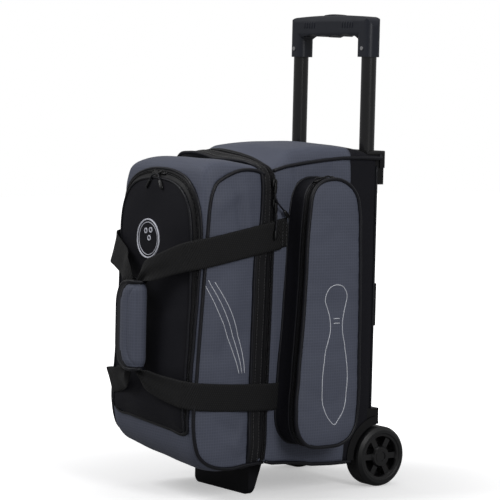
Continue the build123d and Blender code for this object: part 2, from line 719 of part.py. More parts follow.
LEG_CENTRE = TUBE_X - LEG_SHIFT
GRIP_OUT = LEG_CENTRE + LEG_X / 2
LEG_INSIDE = LEG_CENTRE - LEG_X / 2
LOBES = ((-2 * FINGER, 806), (-FINGER, 804.5), (0, 803), (FINGER, 804.5), (2 * FINGER, 806))
HOLLOWS = ((-1.5 * FINGER, 809), (-0.5 * FINGER, 807), (0.5 * FINGER, 807), (1.5 * FINGER, 809))
with BuildPart() as tow_grip:
    # bar seen from the front: crowned top, round shoulders, finger hollows below
    with BuildSketch(Plane.XZ.offset(-TUBE_Y)):
        with BuildLine():
            for start, middle, end in zip(LOBES, HOLLOWS, LOBES[1:]):
                ThreePointArc(start, middle, end)
            Line(LOBES[-1], (LEG_INSIDE - 7, 806))
            TangentArc((LEG_INSIDE - 7, 806), (LEG_INSIDE, BAR_LOW), tangent=(1, 0))
            Polyline(
                (LEG_INSIDE, BAR_LOW), (GRIP_OUT, BAR_LOW), (GRIP_OUT, GRIP_TOP - GRIP_SHOULDER)
            )
            ThreePointArc(
                (GRIP_OUT, GRIP_TOP - GRIP_SHOULDER),
                (
                    GRIP_OUT - GRIP_SHOULDER * (1 - cos(radians(45))),
                    GRIP_TOP - GRIP_SHOULDER * (1 - sin(radians(45))),
                ),
                (GRIP_OUT - GRIP_SHOULDER, GRIP_TOP),
            )
            ThreePointArc(
                (GRIP_OUT - GRIP_SHOULDER, GRIP_TOP),
                (0, GRIP_CROWN),
                (GRIP_SHOULDER - GRIP_OUT, GRIP_TOP),
            )
            ThreePointArc(
                (GRIP_SHOULDER - GRIP_OUT, GRIP_TOP),
                (
                    GRIP_SHOULDER * (1 - cos(radians(45))) - GRIP_OUT,
                    GRIP_TOP - GRIP_SHOULDER * (1 - sin(radians(45))),
                ),
                (-GRIP_OUT, GRIP_TOP - GRIP_SHOULDER),
            )
            Polyline(
                (-GRIP_OUT, GRIP_TOP - GRIP_SHOULDER), (-GRIP_OUT, BAR_LOW), (-LEG_INSIDE, BAR_LOW)
            )
            TangentArc((-LEG_INSIDE, BAR_LOW), (7 - LEG_INSIDE, 806), tangent=(0, 1))
            Line((7 - LEG_INSIDE, 806), LOBES[0])
        make_face()
    extrude(amount=LEG_Y / 2, both=True)
    # rounded from front to back, and at both ends
    with BuildSketch(Plane.YZ):
        with Locations((TUBE_Y, (BAR_LOW + GRIP_CROWN) / 2)):
            RectangleRounded(LEG_Y, GRIP_CROWN - BAR_LOW, BAR_R)
    extrude(amount=GRIP_OUT + 1, both=True, mode=Mode.INTERSECT)
    with BuildSketch(Plane.XY.offset(BAR_LOW - 1)):
        with Locations((0, TUBE_Y)):
            RectangleRounded(2 * GRIP_OUT, LEG_Y, LEG_R)
    extrude(amount=60, mode=Mode.INTERSECT)
    # legs that socket the tubes
    with BuildSketch(Plane.XY.offset(GRIP_LOW)):
        with Locations((LEG_CENTRE, TUBE_Y), (-LEG_CENTRE, TUBE_Y)):
            RectangleRounded(LEG_X, LEG_Y, LEG_R)
    extrude(amount=BAR_LOW + BAR_R + 1 - GRIP_LOW)
    # grip ribs on either side of the button
    for side in (-1, 1):
        for n in range(5):
            with BuildSketch(Plane.YZ.offset(side * (40 + 7 * n) - 1.2)):
                with Locations((TUBE_Y, 825)):
                    RectangleRounded(LEG_Y + 1.6, 28, 12)
            extrude(amount=2.4)
    # tube sockets, link channel and button opening
    with Locations((TUBE_X, TUBE_Y, 784), (-TUBE_X, TUBE_Y, 784)):
        Cylinder(TUBE_R + 0.03, 32.1, mode=Mode.SUBTRACT)
    with Locations((TUBE_X, TUBE_Y, 806), (-TUBE_X, TUBE_Y, 806)):
        Cylinder(ROD_R + 1, 20, mode=Mode.SUBTRACT)
    box_between(
        (-TUBE_X - 6, TUBE_Y - 5, LINK_LOW - 5),
        (TUBE_X + 6, TUBE_Y + 5, LINK_LOW + LINK_T + 1),
        Mode.SUBTRACT,
    )
    box_between(
        (-BUTTON_HALF - 0.5, TUBE_Y - BUTTON_Y - 0.5, LINK_LOW),
        (BUTTON_HALF + 0.5, TUBE_Y + BUTTON_Y + 0.5, GRIP_TOP + 20),
        Mode.SUBTRACT,
    )
    with BuildSketch(Plane.XZ.offset(-(TUBE_Y - LEG_Y / 2))):
        with Locations((TUBE_X, RIVET_Z), (-TUBE_X, RIVET_Z)):
            Circle(2.05)
    extrude(amount=-4.2, mode=Mode.SUBTRACT)
write(tow_grip, "tow_grip")

with BuildPart() as grip_rivets:
    with BuildSketch(Plane.XZ.offset(-(TUBE_Y - LEG_Y / 2 - 0.1))):
        with Locations((TUBE_X, RIVET_Z), (-TUBE_X, RIVET_Z)):
            Circle(3.6)
    extrude(amount=1.4)
    with BuildSketch(Plane.XZ.offset(-(TUBE_Y - LEG_Y / 2 - 0.1))):
        with Locations((TUBE_X, RIVET_Z), (-TUBE_X, RIVET_Z)):
            Circle(2)
    extrude(amount=-3.4)
write(grip_rivets, "grip_rivets")


# ================================================================ accessory pocket, right
def pocket_outline(grow, height):
    """The pocket's tall rounded outline on a plane parallel to the bag's side."""
    with BuildSketch(Plane.YZ.offset(height)) as outline:
        with BuildLine():
            Polyline(*POCKET_CORNERS, close=True)
        make_face()
        fillet(outline.vertices().group_by(Axis.Y)[-1], POCKET_TOP_R)
        fillet(outline.vertices().group_by(Axis.Y)[0], POCKET_LOW_R)
        if grow:
            offset(amount=grow)
    return outline.sketch


with BuildPart() as pocket_gusset_right:
    depth = POCKET_SPLIT - POCKET_X
    extrude(pocket_outline(0, POCKET_X), amount=depth)
    extrude(pocket_outline(-POCKET_WALL, POCKET_X), amount=depth, mode=Mode.SUBTRACT)
write(pocket_gusset_right, "pocket_gusset_right")
write_mirrored(pocket_gusset_right, "pocket_gusset_left")

with BuildPart() as pocket_zip_right:
    extrude(pocket_outline(1.6, POCKET_SPLIT - 7), amount=6)
    extrude(pocket_outline(0.1, POCKET_SPLIT - 7), amount=6, mode=Mode.SUBTRACT)
write(pocket_zip_right, "pocket_zip_right")
write_mirrored(pocket_zip_right, "pocket_zip_left")

with BuildPart() as pocket_flap_right:
    depth = POCKET_FACE - POCKET_SPLIT - 0.6
    extrude(pocket_outline(0, POCKET_SPLIT + 0.6), amount=depth)
    extrude(pocket_outline(-POCKET_WALL, POCKET_SPLIT), amount=depth - 3, mode=Mode.SUBTRACT)
write(pocket_flap_right, "pocket_flap_right")
write_mirrored(pocket_flap_right, "pocket_flap_left")

with BuildPart() as pocket_slider_right:
    box_between((POCKET_SPLIT - 10, 2, 560.4), (POCKET_SPLIT + 2, 18, 565.4))
write(pocket_slider_right, "pocket_slider_right")
write_mirrored(pocket_slider_right, "pocket_slider_left")

# ================================================================ main zip sliders
with BuildPart() as zip_slider_upper:
    box_between(
        (HALF_WIDTH + ZIP_PROUD + 0.6, seam_y(545) - 6, 536),
        (HALF_WIDTH + ZIP_PROUD + 5.6, seam_y(545) + 6, 553),
    )
    box_between(
        (HALF_WIDTH + ZIP_PROUD + 5.6, seam_y(545) - 3, 520),
        (HALF_WIDTH + ZIP_PROUD + 7.4, seam_y(545) + 3, 548),
    )
write(zip_slider_upper, "zip_slider_upper")

with BuildPart() as zip_slider_lower:
    box_between(
        (HALF_WIDTH + ZIP_PROUD + 0.6, seam_y(512) - 6, 503),
        (HALF_WIDTH + ZIP_PROUD + 5.6, seam_y(512) + 6, 519),
    )
    box_between(
        (HALF_WIDTH + ZIP_PROUD + 5.6, seam_y(512) - 3, 490),
        (HALF_WIDTH + ZIP_PROUD + 7.4, seam_y(512) + 3, 514),
    )
write(zip_slider_lower, "zip_slider_lower")

# ================================================================ carry loops
STRAP_UPPER = (
    # x, y, plan heading in degrees from +Y, centre z, height
    (LOOP_X, LOOP_PIVOT_Y - 0.5, 180, 457, WEBBING),
    (LOOP_X, -120, 180, 441, WEBBING),
    (LOOP_X, -198, 180, 428, WEBBING),
    (LOOP_X - 6, -211, 225, 425, WEBBING),
    (LOOP_X - 20, -217, 262, 421, WEBBING),
    (60, -229, 253, 404, 44),
    (14, -246, 248, 389, 18),
)
STRAP_LOWER = (
    (LOOP_X, LOOP_PIVOT_Y - 0.5, 180, 178, WEBBING - 3),
    (LOOP_X, -120, 180, 181, WEBBING - 3),
    (LOOP_X, -198, 180, 185, WEBBING - 3),
    (LOOP_X - 6, -211, 225, 186.5, WEBBING - 3),
    (LOOP_X - 20, -217, 262, 188, WEBBING - 3),
    (60, -229, 253, 197, 40),
    (14, -246, 248, 212, 18),
)


def strap_section(x, y, heading, z, height):
    """An upright rectangle of webbing, across the strap's direction of travel."""
    turn = radians(heading - 180)
    travel = (-sin(turn), -cos(turn), 0)
    across = (travel[1], -travel[0], 0)
    with BuildSketch(Plane(origin=(x, y, z), x_dir=across, z_dir=travel)) as section:
        Rectangle(WEBBING_T, height)
    return section.sketch


with BuildPart() as carry_strap_right:
    for stations in (STRAP_UPPER, STRAP_LOWER):
        for first, second in zip(stations, stations[1:]):
            loft([strap_section(*first).face(), strap_section(*second).face()], ruled=True)
    box_between((4, -250, 204), (20, -242, 397))
write(carry_strap_right, "carry_strap_right")
write_mirrored(carry_strap_right, "carry_strap_left")

with BuildPart() as strap_tabs:
    for side in (-1, 1):
        for middle, front, rear in ((457, -33.5, -24), (178, -41.8, -31.5)):
            low, high = sorted((side * (HALF_WIDTH + 0.4), side * (HALF_WIDTH + 3)))
            box_between((low, front, middle - 24), (high, rear, middle + 24))
write(strap_tabs, "strap_tabs")

with BuildPart() as carry_wrap:
    with BuildSketch(Plane.XY.offset(WRAP_LOW)) as wrap_plan:
        with Locations((0, (WRAP_FRONT + WRAP_BACK) / 2)):
            RectangleRounded(2 * WRAP_HALF, WRAP_BACK - WRAP_FRONT, 10)
        with Locations((-20, (WRAP_FRONT + WRAP_BACK) / 2)):
            Rectangle(
                2 * WRAP_HALF + 40 - 2 * WRAP_WALL,
                WRAP_BACK - WRAP_FRONT - 2 * WRAP_WALL,
                mode=Mode.SUBTRACT,
            )
    extrude(amount=WRAP_TOP - WRAP_LOW)
write(carry_wrap, "carry_wrap")
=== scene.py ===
"""Looks for the upright two-ball roller bag: fabric, piping, zips, webbing and materials.

Lengths in this script are in millimetres unless a name says otherwise, in the CAD
model's own frame: +Z up, -Y to the front pocket, +X to the right accessory pocket.
"""

import math

import bmesh
import bpy
import numpy as np
from mathutils import Matrix, Vector, noise
from mathutils.bvhtree import BVHTree


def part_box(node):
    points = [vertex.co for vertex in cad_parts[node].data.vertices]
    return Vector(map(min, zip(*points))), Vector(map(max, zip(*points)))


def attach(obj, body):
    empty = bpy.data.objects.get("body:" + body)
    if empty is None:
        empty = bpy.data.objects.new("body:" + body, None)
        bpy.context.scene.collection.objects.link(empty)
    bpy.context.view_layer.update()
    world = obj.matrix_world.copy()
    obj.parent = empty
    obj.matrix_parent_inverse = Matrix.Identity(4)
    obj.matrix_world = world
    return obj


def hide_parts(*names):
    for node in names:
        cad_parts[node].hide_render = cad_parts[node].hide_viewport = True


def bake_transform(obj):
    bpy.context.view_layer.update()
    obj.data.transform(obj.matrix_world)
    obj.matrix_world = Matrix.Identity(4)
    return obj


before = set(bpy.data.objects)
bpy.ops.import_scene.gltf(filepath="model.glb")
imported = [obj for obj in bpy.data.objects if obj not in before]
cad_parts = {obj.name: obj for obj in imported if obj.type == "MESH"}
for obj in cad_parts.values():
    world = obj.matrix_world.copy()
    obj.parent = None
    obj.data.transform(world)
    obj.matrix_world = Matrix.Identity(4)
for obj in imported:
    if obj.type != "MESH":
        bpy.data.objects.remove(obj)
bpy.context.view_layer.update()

MM = 0.001
RIGHT, LEFT = 1, -1
SIDES = (("right", RIGHT), ("left", LEFT))


def box_mm(node):
    """A CAD node's lowest and highest corners in millimetres."""
    low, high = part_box(node)
    return np.array(low) * 1000, np.array(high) * 1000


# ---------------------------------------------------------------- sizes from the frame
SIDE = box_mm("main_shell")[1][0]
BACK_START = box_mm("back_shell")[0][1]
BACK = box_mm("back_shell")[1][1]
BASE_LOW = box_mm("back_shell")[0][2]
WHEEL = (box_mm("wheel_tyre_right")[0] + box_mm("wheel_tyre_right")[1]) / 2
ARCH_R = WHEEL[1] - box_mm("wheel_housing_right")[0][1] - 11
POCKET_FACE_X = box_mm("pocket_flap_right")[1][0]
POCKET_SPLIT_X = box_mm("pocket_flap_right")[0][0]
HOUSING_LOW, HOUSING_HIGH = box_mm("tube_top_housing")
WRAP_LOW, WRAP_HIGH = box_mm("carry_wrap")
STRAP_X = box_mm("carry_strap_right")[1][0] - 1.5
WALL = 7.0
PIPING_R = 3.2
SMALL_COIL = (2.4, (1.4, 2.8, 1.5))
BINDING = 6.0
FLAP_BINDING = 20.0
BAG_MIDDLE = (0, 0, 330)
CLEAR_OF_BAG = 400
CLOTH_PRESSURE = 4.0
CLOTH_FRAMES = 20


# ================================================================ curves and meshes
def curve(points, step=None, count=None, closed=False):
    """A smooth curve through the points, in any number of dimensions, evenly sampled."""
    p = np.array(points, float)
    if closed:
        p = np.vstack([p, p[:1]])
    gap = np.linalg.norm(np.diff(p, axis=0), axis=1)
    slope = np.diff(p, axis=0) / gap[:, None]
    if closed:
        before, after = np.vstack([slope[-1:], slope]), np.vstack([slope, slope[:1]])
        gap_before, gap_after = np.append(gap[-1], gap), np.append(gap, gap[0])
    else:
        before, after = np.vstack([slope[:1], slope]), np.vstack([slope, slope[-1:]])
        gap_before, gap_after = np.append(gap[0], gap), np.append(gap, gap[-1])
    tangent = before * gap_after[:, None] + after * gap_before[:, None]
    tangent /= (gap_before + gap_after)[:, None]
    t = np.linspace(0, 1, 17)[:-1, None]
    fine = []
    for i, h in enumerate(gap):
        fine.append(
            (2 * t**3 - 3 * t**2 + 1) * p[i]
            + (t**3 - 2 * t**2 + t) * h * tangent[i]
            + (3 * t**2 - 2 * t**3) * p[i + 1]
            + (t**3 - t**2) * h * tangent[i + 1]
        )
    fine = np.vstack(fine + [p[-1:]])
    length = np.append(0, np.cumsum(np.linalg.norm(np.diff(fine, axis=0), axis=1)))
    number = count or max(2, round(length[-1] / step) + 1)
    at = np.linspace(0, length[-1], number)
    even = np.column_stack([np.interp(at, length, fine[:, k]) for k in range(fine.shape[1])])
    return even[:-1] if closed else even


def tangents(path, closed=False):
    """Unit directions along a sampled path."""
    if closed:
        d = np.roll(path, -1, axis=0) - np.roll(path, 1, axis=0)
    else:
        d = np.gradient(path, axis=0)
    return d / np.maximum(np.linalg.norm(d, axis=1), 1e-9)[:, None]


def unit(rows):
    """Each row as a direction of length 1."""
    return rows / np.linalg.norm(rows, axis=1)[:, None]


def quads(rows, across, closed=False, around=True):
    """Faces of a grid of points; closed joins its last row to its first, around its columns."""
    faces = []
    for i in range(rows if closed else rows - 1):
        j = (i + 1) % rows
        for k in range(across if around else across - 1):
            q = (k + 1) % across
            faces.append([i * across + k, i * across + q, j * across + q, j * across + k])
    return faces


def make(name, points, faces, material, body=None):
    """A mesh object from points in millimetres, riding on a body."""
    mesh = bpy.data.meshes.new(name)
    mesh.from_pydata([tuple(float(c) * MM for c in p) for p in points], [], faces)
    mesh.validate()
    mesh.polygons.foreach_set("use_smooth", [True] * len(mesh.polygons))
    obj = bpy.data.objects.new(name, mesh)
    bpy.context.scene.collection.objects.link(obj)
    for m in material if isinstance(material, (list, tuple)) else [material]:
        mesh.materials.append(m)
    if body:
        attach(obj, body)
    return obj


def blow_out(obj, kept_share, **settings):
    """Swells a mesh as cloth under pressure and keeps a share of how far its points moved."""
    rest = np.array([v.co for v in obj.data.vertices])
    cloth = obj.modifiers.new("cloth", "CLOTH")
    cloth.settings.use_pressure = True
    cloth.settings.uniform_pressure_force = CLOTH_PRESSURE
    cloth.settings.effector_weights.gravity = 0.0
    for key, value in settings.items():
        setattr(cloth.settings, key, value)
    for number in range(1, CLOTH_FRAMES + 1):
        bpy.context.scene.frame_set(number)
    bpy.context.view_layer.objects.active = obj
    bpy.ops.object.modifier_apply(modifier=cloth.name)
    moved = np.array([v.co for v in obj.data.vertices]) - rest
    moved *= kept_share(np.linalg.norm(moved, axis=1))
    obj.data.vertices.foreach_set("co", (rest + moved).ravel())
    obj.data.update()
    bpy.context.scene.frame_set(1)


def settle(obj, held, swell=3.0, grow=0.03):
    """Blows a seamed panel out as cloth, held at its seams, by at most swell millimetres."""
    seam = obj.vertex_groups.new(name="seam")
    seam.add([int(i) for i in np.flatnonzero(np.array(held).ravel())], 1.0, "REPLACE")
    blow_out(obj, lambda far: min(1.0, swell / max(far.max() / MM, 1e-6)),
             vertex_group_mass="seam", shrink_min=-grow, bending_stiffness=0.3)
    obj.vertex_groups.clear()


def sheet(name, rows, material, body, wall=0.0, lining=None, toward=BAG_MIDDLE, around=False,
          held=None):
    """A fabric sheet from a grid of points, facing away from toward, with a wall inside it.

    held marks the points at a seam; the rest then settle as cloth."""
    grid = np.array(rows, float)
    faces = quads(*grid.shape[:2], around=around)
    points = grid.reshape(-1, 3)
    a, b, c = (points[[f[q] for f in faces]] for q in (0, 1, 2))
    normal = np.cross(b - a, c - a)
    outward = ((a + c) / 2 - np.array(toward, float)) * normal
    if outward.sum() < 0:
        faces = [f[::-1] for f in faces]
    materials = [material, lining or material] if wall else material
    obj = make(name, points, faces, materials, body)
    if held is not None:
        settle(obj, held)
    if wall:
        solid = obj.modifiers.new("wall", "SOLIDIFY")
        solid.thickness = wall * MM
        solid.offset = -1
        solid.material_offset = 1
        solid.material_offset_rim = 1
    return obj


def tube(name, path, radius, material, body, closed=False, sides=10):
    """A round cord swept along a path, with closed ends."""
    path = np.array(path, float)
    t = tangents(path, closed)
    up = np.array([0.0, 0, 1]) if abs(t[0][2]) < 0.9 else np.array([1.0, 0, 0])
    points, count = [], len(path)
    for i in range(count):
        up = up - t[i] * (up @ t[i])
        up /= np.linalg.norm(up)
        side = np.cross(t[i], up)
        for k in range(sides):
            a = 2 * math.pi * k / sides
            points.append(path[i] + radius * (math.cos(a) * up + math.sin(a) * side))
    faces = quads(count, sides, closed)
    if not closed:
        faces.append(list(range(sides))[::-1])
        faces.append([(count - 1) * sides + k for k in range(sides)])
    return make(name, points, faces, material, body)


def blocks(name, frames, size, material, body):
    """Many small blocks of one size, each at (centre, along, across, up)."""
    half = np.array(size, float) / 2
    corners = [(i, j, k) for i in (-1, 1) for j in (-1, 1) for k in (-1, 1)]
    sides = [(0, 1, 3, 2), (4, 6, 7, 5), (0, 4, 5, 1), (2, 3, 7, 6), (0, 2, 6, 4), (1, 5, 7, 3)]
    points, faces = [], []
    for centre, along, across, up in frames:
        start = len(points)
        for i, j, k in corners:
            points.append(centre + along * i * half[0] + across * j * half[1] + up * k * half[2])
        handed = np.dot(np.cross(along, across), up) > 0
        for f in sides:
            f = [start + q for q in f]
            faces.append(f if handed else f[::-1])
    return make(name, points, faces, material, body)


def ripple(points, amount, size, seed):
    """A smooth random height for each point, for slack fabric."""
    shift = Vector((seed * 7.3, seed * 3.1, seed * 5.7))
    return np.array([amount * noise.noise(Vector(p) / size + shift) for p in points])


def crease(points, start, end, width, depth):
    """A soft fold along a line: heights for the points near it."""
    a, b = np.array(start, float), np.array(end, float)
    p = np.array(points, float)
    t = np.clip(((p - a) @ (b - a)) / ((b - a) @ (b - a)), 0, 1)
    near = np.linalg.norm(p - (a + t[:, None] * (b - a)), axis=1)
    fade = np.sin(math.pi * np.clip(t, 0.03, 0.97))
    return depth * np.exp(-((near / width) ** 2)) * fade


def folded(points, folds, shape):
    """The heights that several folds add up to, each one (start, end, width, depth)."""
    return sum(crease(points, *fold) for fold in folds).reshape(shape)


def surface_of(obj):
    """A look-up of the first hit on a finished object, in millimetres, or None."""
    bpy.context.view_layer.update()
    tree = BVHTree.FromObject(obj, bpy.context.evaluated_depsgraph_get())

    def hit(start, direction):
        where = tree.ray_cast(Vector(start) * MM, Vector(direction))[0]
        return None if where is None else np.array(where) * 1000

    return hit


def laid_on(hit, path, start, direction, lift):
    """The path dropped along direction from start (an offset) on to a surface."""
    out = []
    for p in path:
        got = hit(np.array(p) + np.array(start), direction)
        if got is not None:
            out.append(got - np.array(direction) * lift)
    return np.array(out)


# ================================================================ materials
class Look:
    """A procedural material, with short calls for its node tree."""

    def __init__(self, name, colour, rough, **inputs):
        self.material = bpy.data.materials.new(name)
        self.material.use_nodes = True
        self.tree = self.material.node_tree
        self.shader = self.tree.nodes["Principled BSDF"]
        self.shader.inputs["Roughness"].default_value = rough
        for key, value in inputs.items():
            self.shader.inputs[key.replace("_", " ")].default_value = value
        self.colour = colour
        self.place = self.node("ShaderNodeTexCoord").outputs["Object"]
        self.height = None

    def node(self, kind, **settings):
        made = self.tree.nodes.new(kind)
        for key, value in settings.items():
            if key in made.inputs:
                self.feed(made.inputs[key], value)
            else:
                setattr(made, key, value)
        return made

    def feed(self, socket, value):
        if isinstance(value, bpy.types.NodeSocket):
            self.tree.links.new(value, socket)
        else:
            socket.default_value = value

    def math(self, operation, a, b=0.0, c=0.0):
        made = self.tree.nodes.new("ShaderNodeMath")
        made.operation = operation
        for socket, value in zip(made.inputs, (a, b, c)):
            self.feed(socket, value)
        return made.outputs[0]

    def noise(self, scale, detail=3.0, distortion=0.0, stretch=None):
        place = self.place
        if stretch:
            mapped = self.node("ShaderNodeMapping", Vector=place)
            mapped.inputs["Scale"].default_value = stretch
            place = mapped.outputs[0]
        made = self.node(
            "ShaderNodeTexNoise", Vector=place, Scale=scale, Detail=detail, Distortion=distortion
        )
        return made.outputs["Fac"]

    def axes(self):
        parts = self.node("ShaderNodeSeparateXYZ", Vector=self.place)
        return parts.outputs[0], parts.outputs[1], parts.outputs[2]

    def facing(self):
        geometry = self.node("ShaderNodeNewGeometry")
        turned = self.node("ShaderNodeVectorTransform", Vector=geometry.outputs["Normal"])
        turned.vector_type = "NORMAL"
        turned.convert_from, turned.convert_to = "WORLD", "OBJECT"
        parts = self.node("ShaderNodeSeparateXYZ", Vector=turned.outputs[0])
        return [self.math("SUBTRACT", 1.0, self.math("ABSOLUTE", s)) for s in parts.outputs]

    def wave(self, value, pitch):
        """0..1 rounded ribs across a value given in metres."""
        phase = self.math("MULTIPLY", value, 2 * math.pi / (pitch * MM))
        return self.math("MULTIPLY_ADD", self.math("SINE", phase), 0.5, 0.5)

    def lines(self, value, pitch, share):
        """1 on thin lines across a value given in metres, 0 between them."""
        wave = self.wave(value, pitch)
        edge = self.math("SUBTRACT", wave, 1 - share)
        return self.math("MULTIPLY", self.math("MAXIMUM", edge, 0.0), 1 / share)

    def weave(self, pitch, kind="wave", share=0.2):
        """A woven grid on any face: ribs along each axis that the face isn't square to."""
        total = None
        for value, weight in zip(self.axes(), self.facing()):
            rib = self.wave(value, pitch) if kind == "wave" else self.lines(value, pitch, share)
            rib = self.math("MULTIPLY", rib, self.math("POWER", weight, 0.5))
            total = rib if total is None else self.math("MAXIMUM", total, rib)
        return total

    def tint(self, factor, low, high):
        """The colour scaled between low and high by a factor from 0 to 1."""
        mix = self.node("ShaderNodeMix", data_type="RGBA", clamp_factor=True)
        self.feed(mix.inputs["Factor"], factor)
        for socket, share in ((mix.inputs[6], low), (mix.inputs[7], high)):
            socket.default_value = [min(1, c * share) for c in self.colour] + [1]
        return mix.outputs[2]

    def multiply(self, a, b):
        mix = self.node("ShaderNodeMix", data_type="RGBA", blend_type="MULTIPLY")
        mix.inputs["Factor"].default_value = 1.0
        self.feed(mix.inputs[6], a)
        self.feed(mix.inputs[7], b)
        return mix.outputs[2]

    def shade(self, factor, low, high):
        """A grey multiplier between low and high."""
        ramp = self.node("ShaderNodeMapRange", Value=factor)
        ramp.inputs["To Min"].default_value = low
        ramp.inputs["To Max"].default_value = high
        grey = self.node("ShaderNodeCombineColor")
        for socket in grey.inputs:
            if socket.name in ("Red", "Green", "Blue"):
                self.feed(socket, ramp.outputs[0])
        return grey.outputs[0]

    def paint(self, base, *layers):
        """Sets the base colour, darkened or lightened by each layer."""
        for layer in layers:
            base = self.multiply(base, layer)
        self.feed(self.shader.inputs["Base Color"], base)

    def rough_from(self, factor, low, high):
        ramp = self.node("ShaderNodeMapRange", Value=factor)
        ramp.inputs["To Min"].default_value = low
        ramp.inputs["To Max"].default_value = high
        self.feed(self.shader.inputs["Roughness"], ramp.outputs[0])

    def bump(self, height, depth, strength=1.0):
        made = self.node("ShaderNodeBump", Strength=strength, Distance=depth * MM, Height=height)
        if self.height is not None:
            self.feed(made.inputs["Normal"], self.height)
        self.height = made.outputs[0]
        self.feed(self.shader.inputs["Normal"], self.height)


def linear(red, green, blue):
    """An sRGB colour from 0 to 255, as linear values."""
    out = []
    for value in (red, green, blue):
        v = value / 255
        out.append(v / 12.92 if v <= 0.04045 else ((v + 0.055) / 1.055) ** 2.4)
    return out


def ripstop(name, colour, square=5.0, line_gain=1.28):
    """Coated ripstop cloth: a fine plain weave with a raised check every few millimetres."""
    look = Look(name, colour, 0.62, Sheen_Weight=0.04, Sheen_Roughness=0.4, Specular_IOR_Level=0.3)
    check = look.weave(square, "lines", 0.22)
    fine = look.weave(0.9)
    cloud = look.noise(9.0, 4.0)
    wear = look.noise(34.0, 5.0, 0.4)
    look.paint(look.tint(cloud, 0.86, 1.12), look.shade(check, 1.0, line_gain),
               look.shade(fine, 0.92, 1.05), look.shade(wear, 0.95, 1.06))
    look.rough_from(wear, 0.5, 0.74)
    look.bump(fine, 0.12, 0.5)
    look.bump(check, 0.25, 0.55)
    look.bump(look.noise(60.0, 3.0), 0.5, 0.35)
    return look.material


def plain_weave(name, colour, pitch=1.1, rough=0.72):
    """Tight black bag cloth with a canvas weave."""
    look = Look(name, colour, rough, Sheen_Weight=0.015, Sheen_Roughness=0.45,
                Specular_IOR_Level=0.16)
    fine = look.weave(pitch)
    cloud = look.noise(14.0, 4.0)
    look.paint(look.tint(cloud, 0.78, 1.2), look.shade(fine, 0.75, 1.18))
    look.rough_from(cloud, rough - 0.12, rough + 0.1)
    look.bump(fine, 0.22, 0.6)
    look.bump(look.noise(45.0, 3.0), 0.6, 0.3)
    return look.material


def twill(name, colour, pitch=4.0):
    """Heavy webbing: steep diagonal ribs with a fine thread across them."""
    look = Look(name, colour, 0.66, Sheen_Weight=0.02, Sheen_Roughness=0.4, Specular_IOR_Level=0.22)
    x, y, z = look.axes()
    along = look.math("ADD", x, y)
    slant = look.math("ADD", along, look.math("MULTIPLY", z, 0.55))
    rib = look.wave(slant, pitch)
    thread = look.wave(look.math("SUBTRACT", z, along), 0.8)
    worn = look.noise(40.0, 5.0, 0.6)
    look.paint(look.tint(rib, 0.3, 2.3), look.shade(worn, 0.8, 1.3), look.shade(thread, 0.9, 1.08))
    look.rough_from(worn, 0.55, 0.8)
    look.bump(rib, 0.6, 0.9)
    look.bump(thread, 0.12, 0.5)
    return look.material


def ribbed_tape(name, colour, pitch=1.6, rough=0.5):
    """Bound tape and piping cloth, with a slight shine."""
    look = Look(name, colour, rough, Sheen_Weight=0.01, Specular_IOR_Level=0.3)
    x, y, z = look.axes()
    slant = look.math("ADD", look.math("ADD", x, y), z)
    rib = look.wave(slant, pitch)
    worn = look.noise(50.0, 4.0)
    look.paint(look.tint(worn, 0.75, 1.3), look.shade(rib, 0.85, 1.1))
    look.rough_from(worn, rough - 0.1, rough + 0.15)
    look.bump(rib, 0.18, 0.45)
    return look.material


def moulded(name, colour, rough, grain=240.0, coat=0.0, shine=0.3):
    """Moulded plastic: fine grain, handling marks and slightly lighter worn areas."""
    look = Look(name, colour, rough, Coat_Weight=coat, Coat_Roughness=0.12,
                Specular_IOR_Level=shine)
    fine = look.noise(grain * 10, 2.0)
    worn = look.noise(22.0, 5.0, 0.8)
    scratch = look.noise(90.0, 2.0, 0.0, (1.0, 1.0, 9.0))
    look.paint(look.tint(worn, 0.84, 1.2), look.shade(scratch, 0.93, 1.1))
    look.rough_from(worn, rough - 0.07, rough + 0.12)
    look.bump(fine, 0.05, 0.5)
    look.bump(scratch, 0.04, 0.3)
    return look.material


def lacquered(name, colour, rough, coat=0.5):
    """Painted metal tube with faint streaks along its length."""
    look = Look(name, colour, rough, Coat_Weight=coat, Coat_Roughness=0.08, Specular_IOR_Level=0.3)
    streak = look.noise(70.0, 3.0, 0.0, (6.0, 6.0, 0.25))
    dust = look.noise(30.0, 5.0)
    look.paint(look.tint(dust, 0.8, 1.25), look.shade(streak, 0.85, 1.15))
    look.rough_from(streak, rough, rough + 0.14)
    look.bump(look.noise(500.0, 2.0), 0.02, 0.3)
    return look.material


def metal(name, colour, rough):
    """Plain steel with fine turned marks."""
    look = Look(name, colour, rough, Metallic=1.0)
    marks = look.noise(160.0, 4.0, 0.0, (1.0, 7.0, 1.0))
    look.paint(look.tint(marks, 0.75, 1.1))
    look.rough_from(marks, rough - 0.08, rough + 0.15)
    look.bump(marks, 0.03, 0.4)
    return look.material


def rubber(name, colour):
    """Smooth wheel tyre, satin, with a dusty tone all over."""
    look = Look(name, colour, 0.42)
    dust = look.noise(55.0, 6.0, 0.5)
    fine = look.noise(900.0, 2.0)
    look.paint(look.tint(dust, 0.75, 1.35))
    look.rough_from(dust, 0.34, 0.6)
    look.bump(fine, 0.05, 0.4)
    return look.material


def foam_look(name, colour):
    """Foam faced with brushed knit."""
    look = Look(name, colour, 0.9, Sheen_Weight=0.35, Sheen_Roughness=0.6)
    knit = look.weave(2.2)
    fuzz = look.noise(320.0, 4.0)
    look.paint(look.tint(fuzz, 0.7, 1.25), look.shade(knit, 0.85, 1.1))
    look.bump(knit, 0.35, 0.6)
    look.bump(fuzz, 0.3, 0.5)
    return look.material


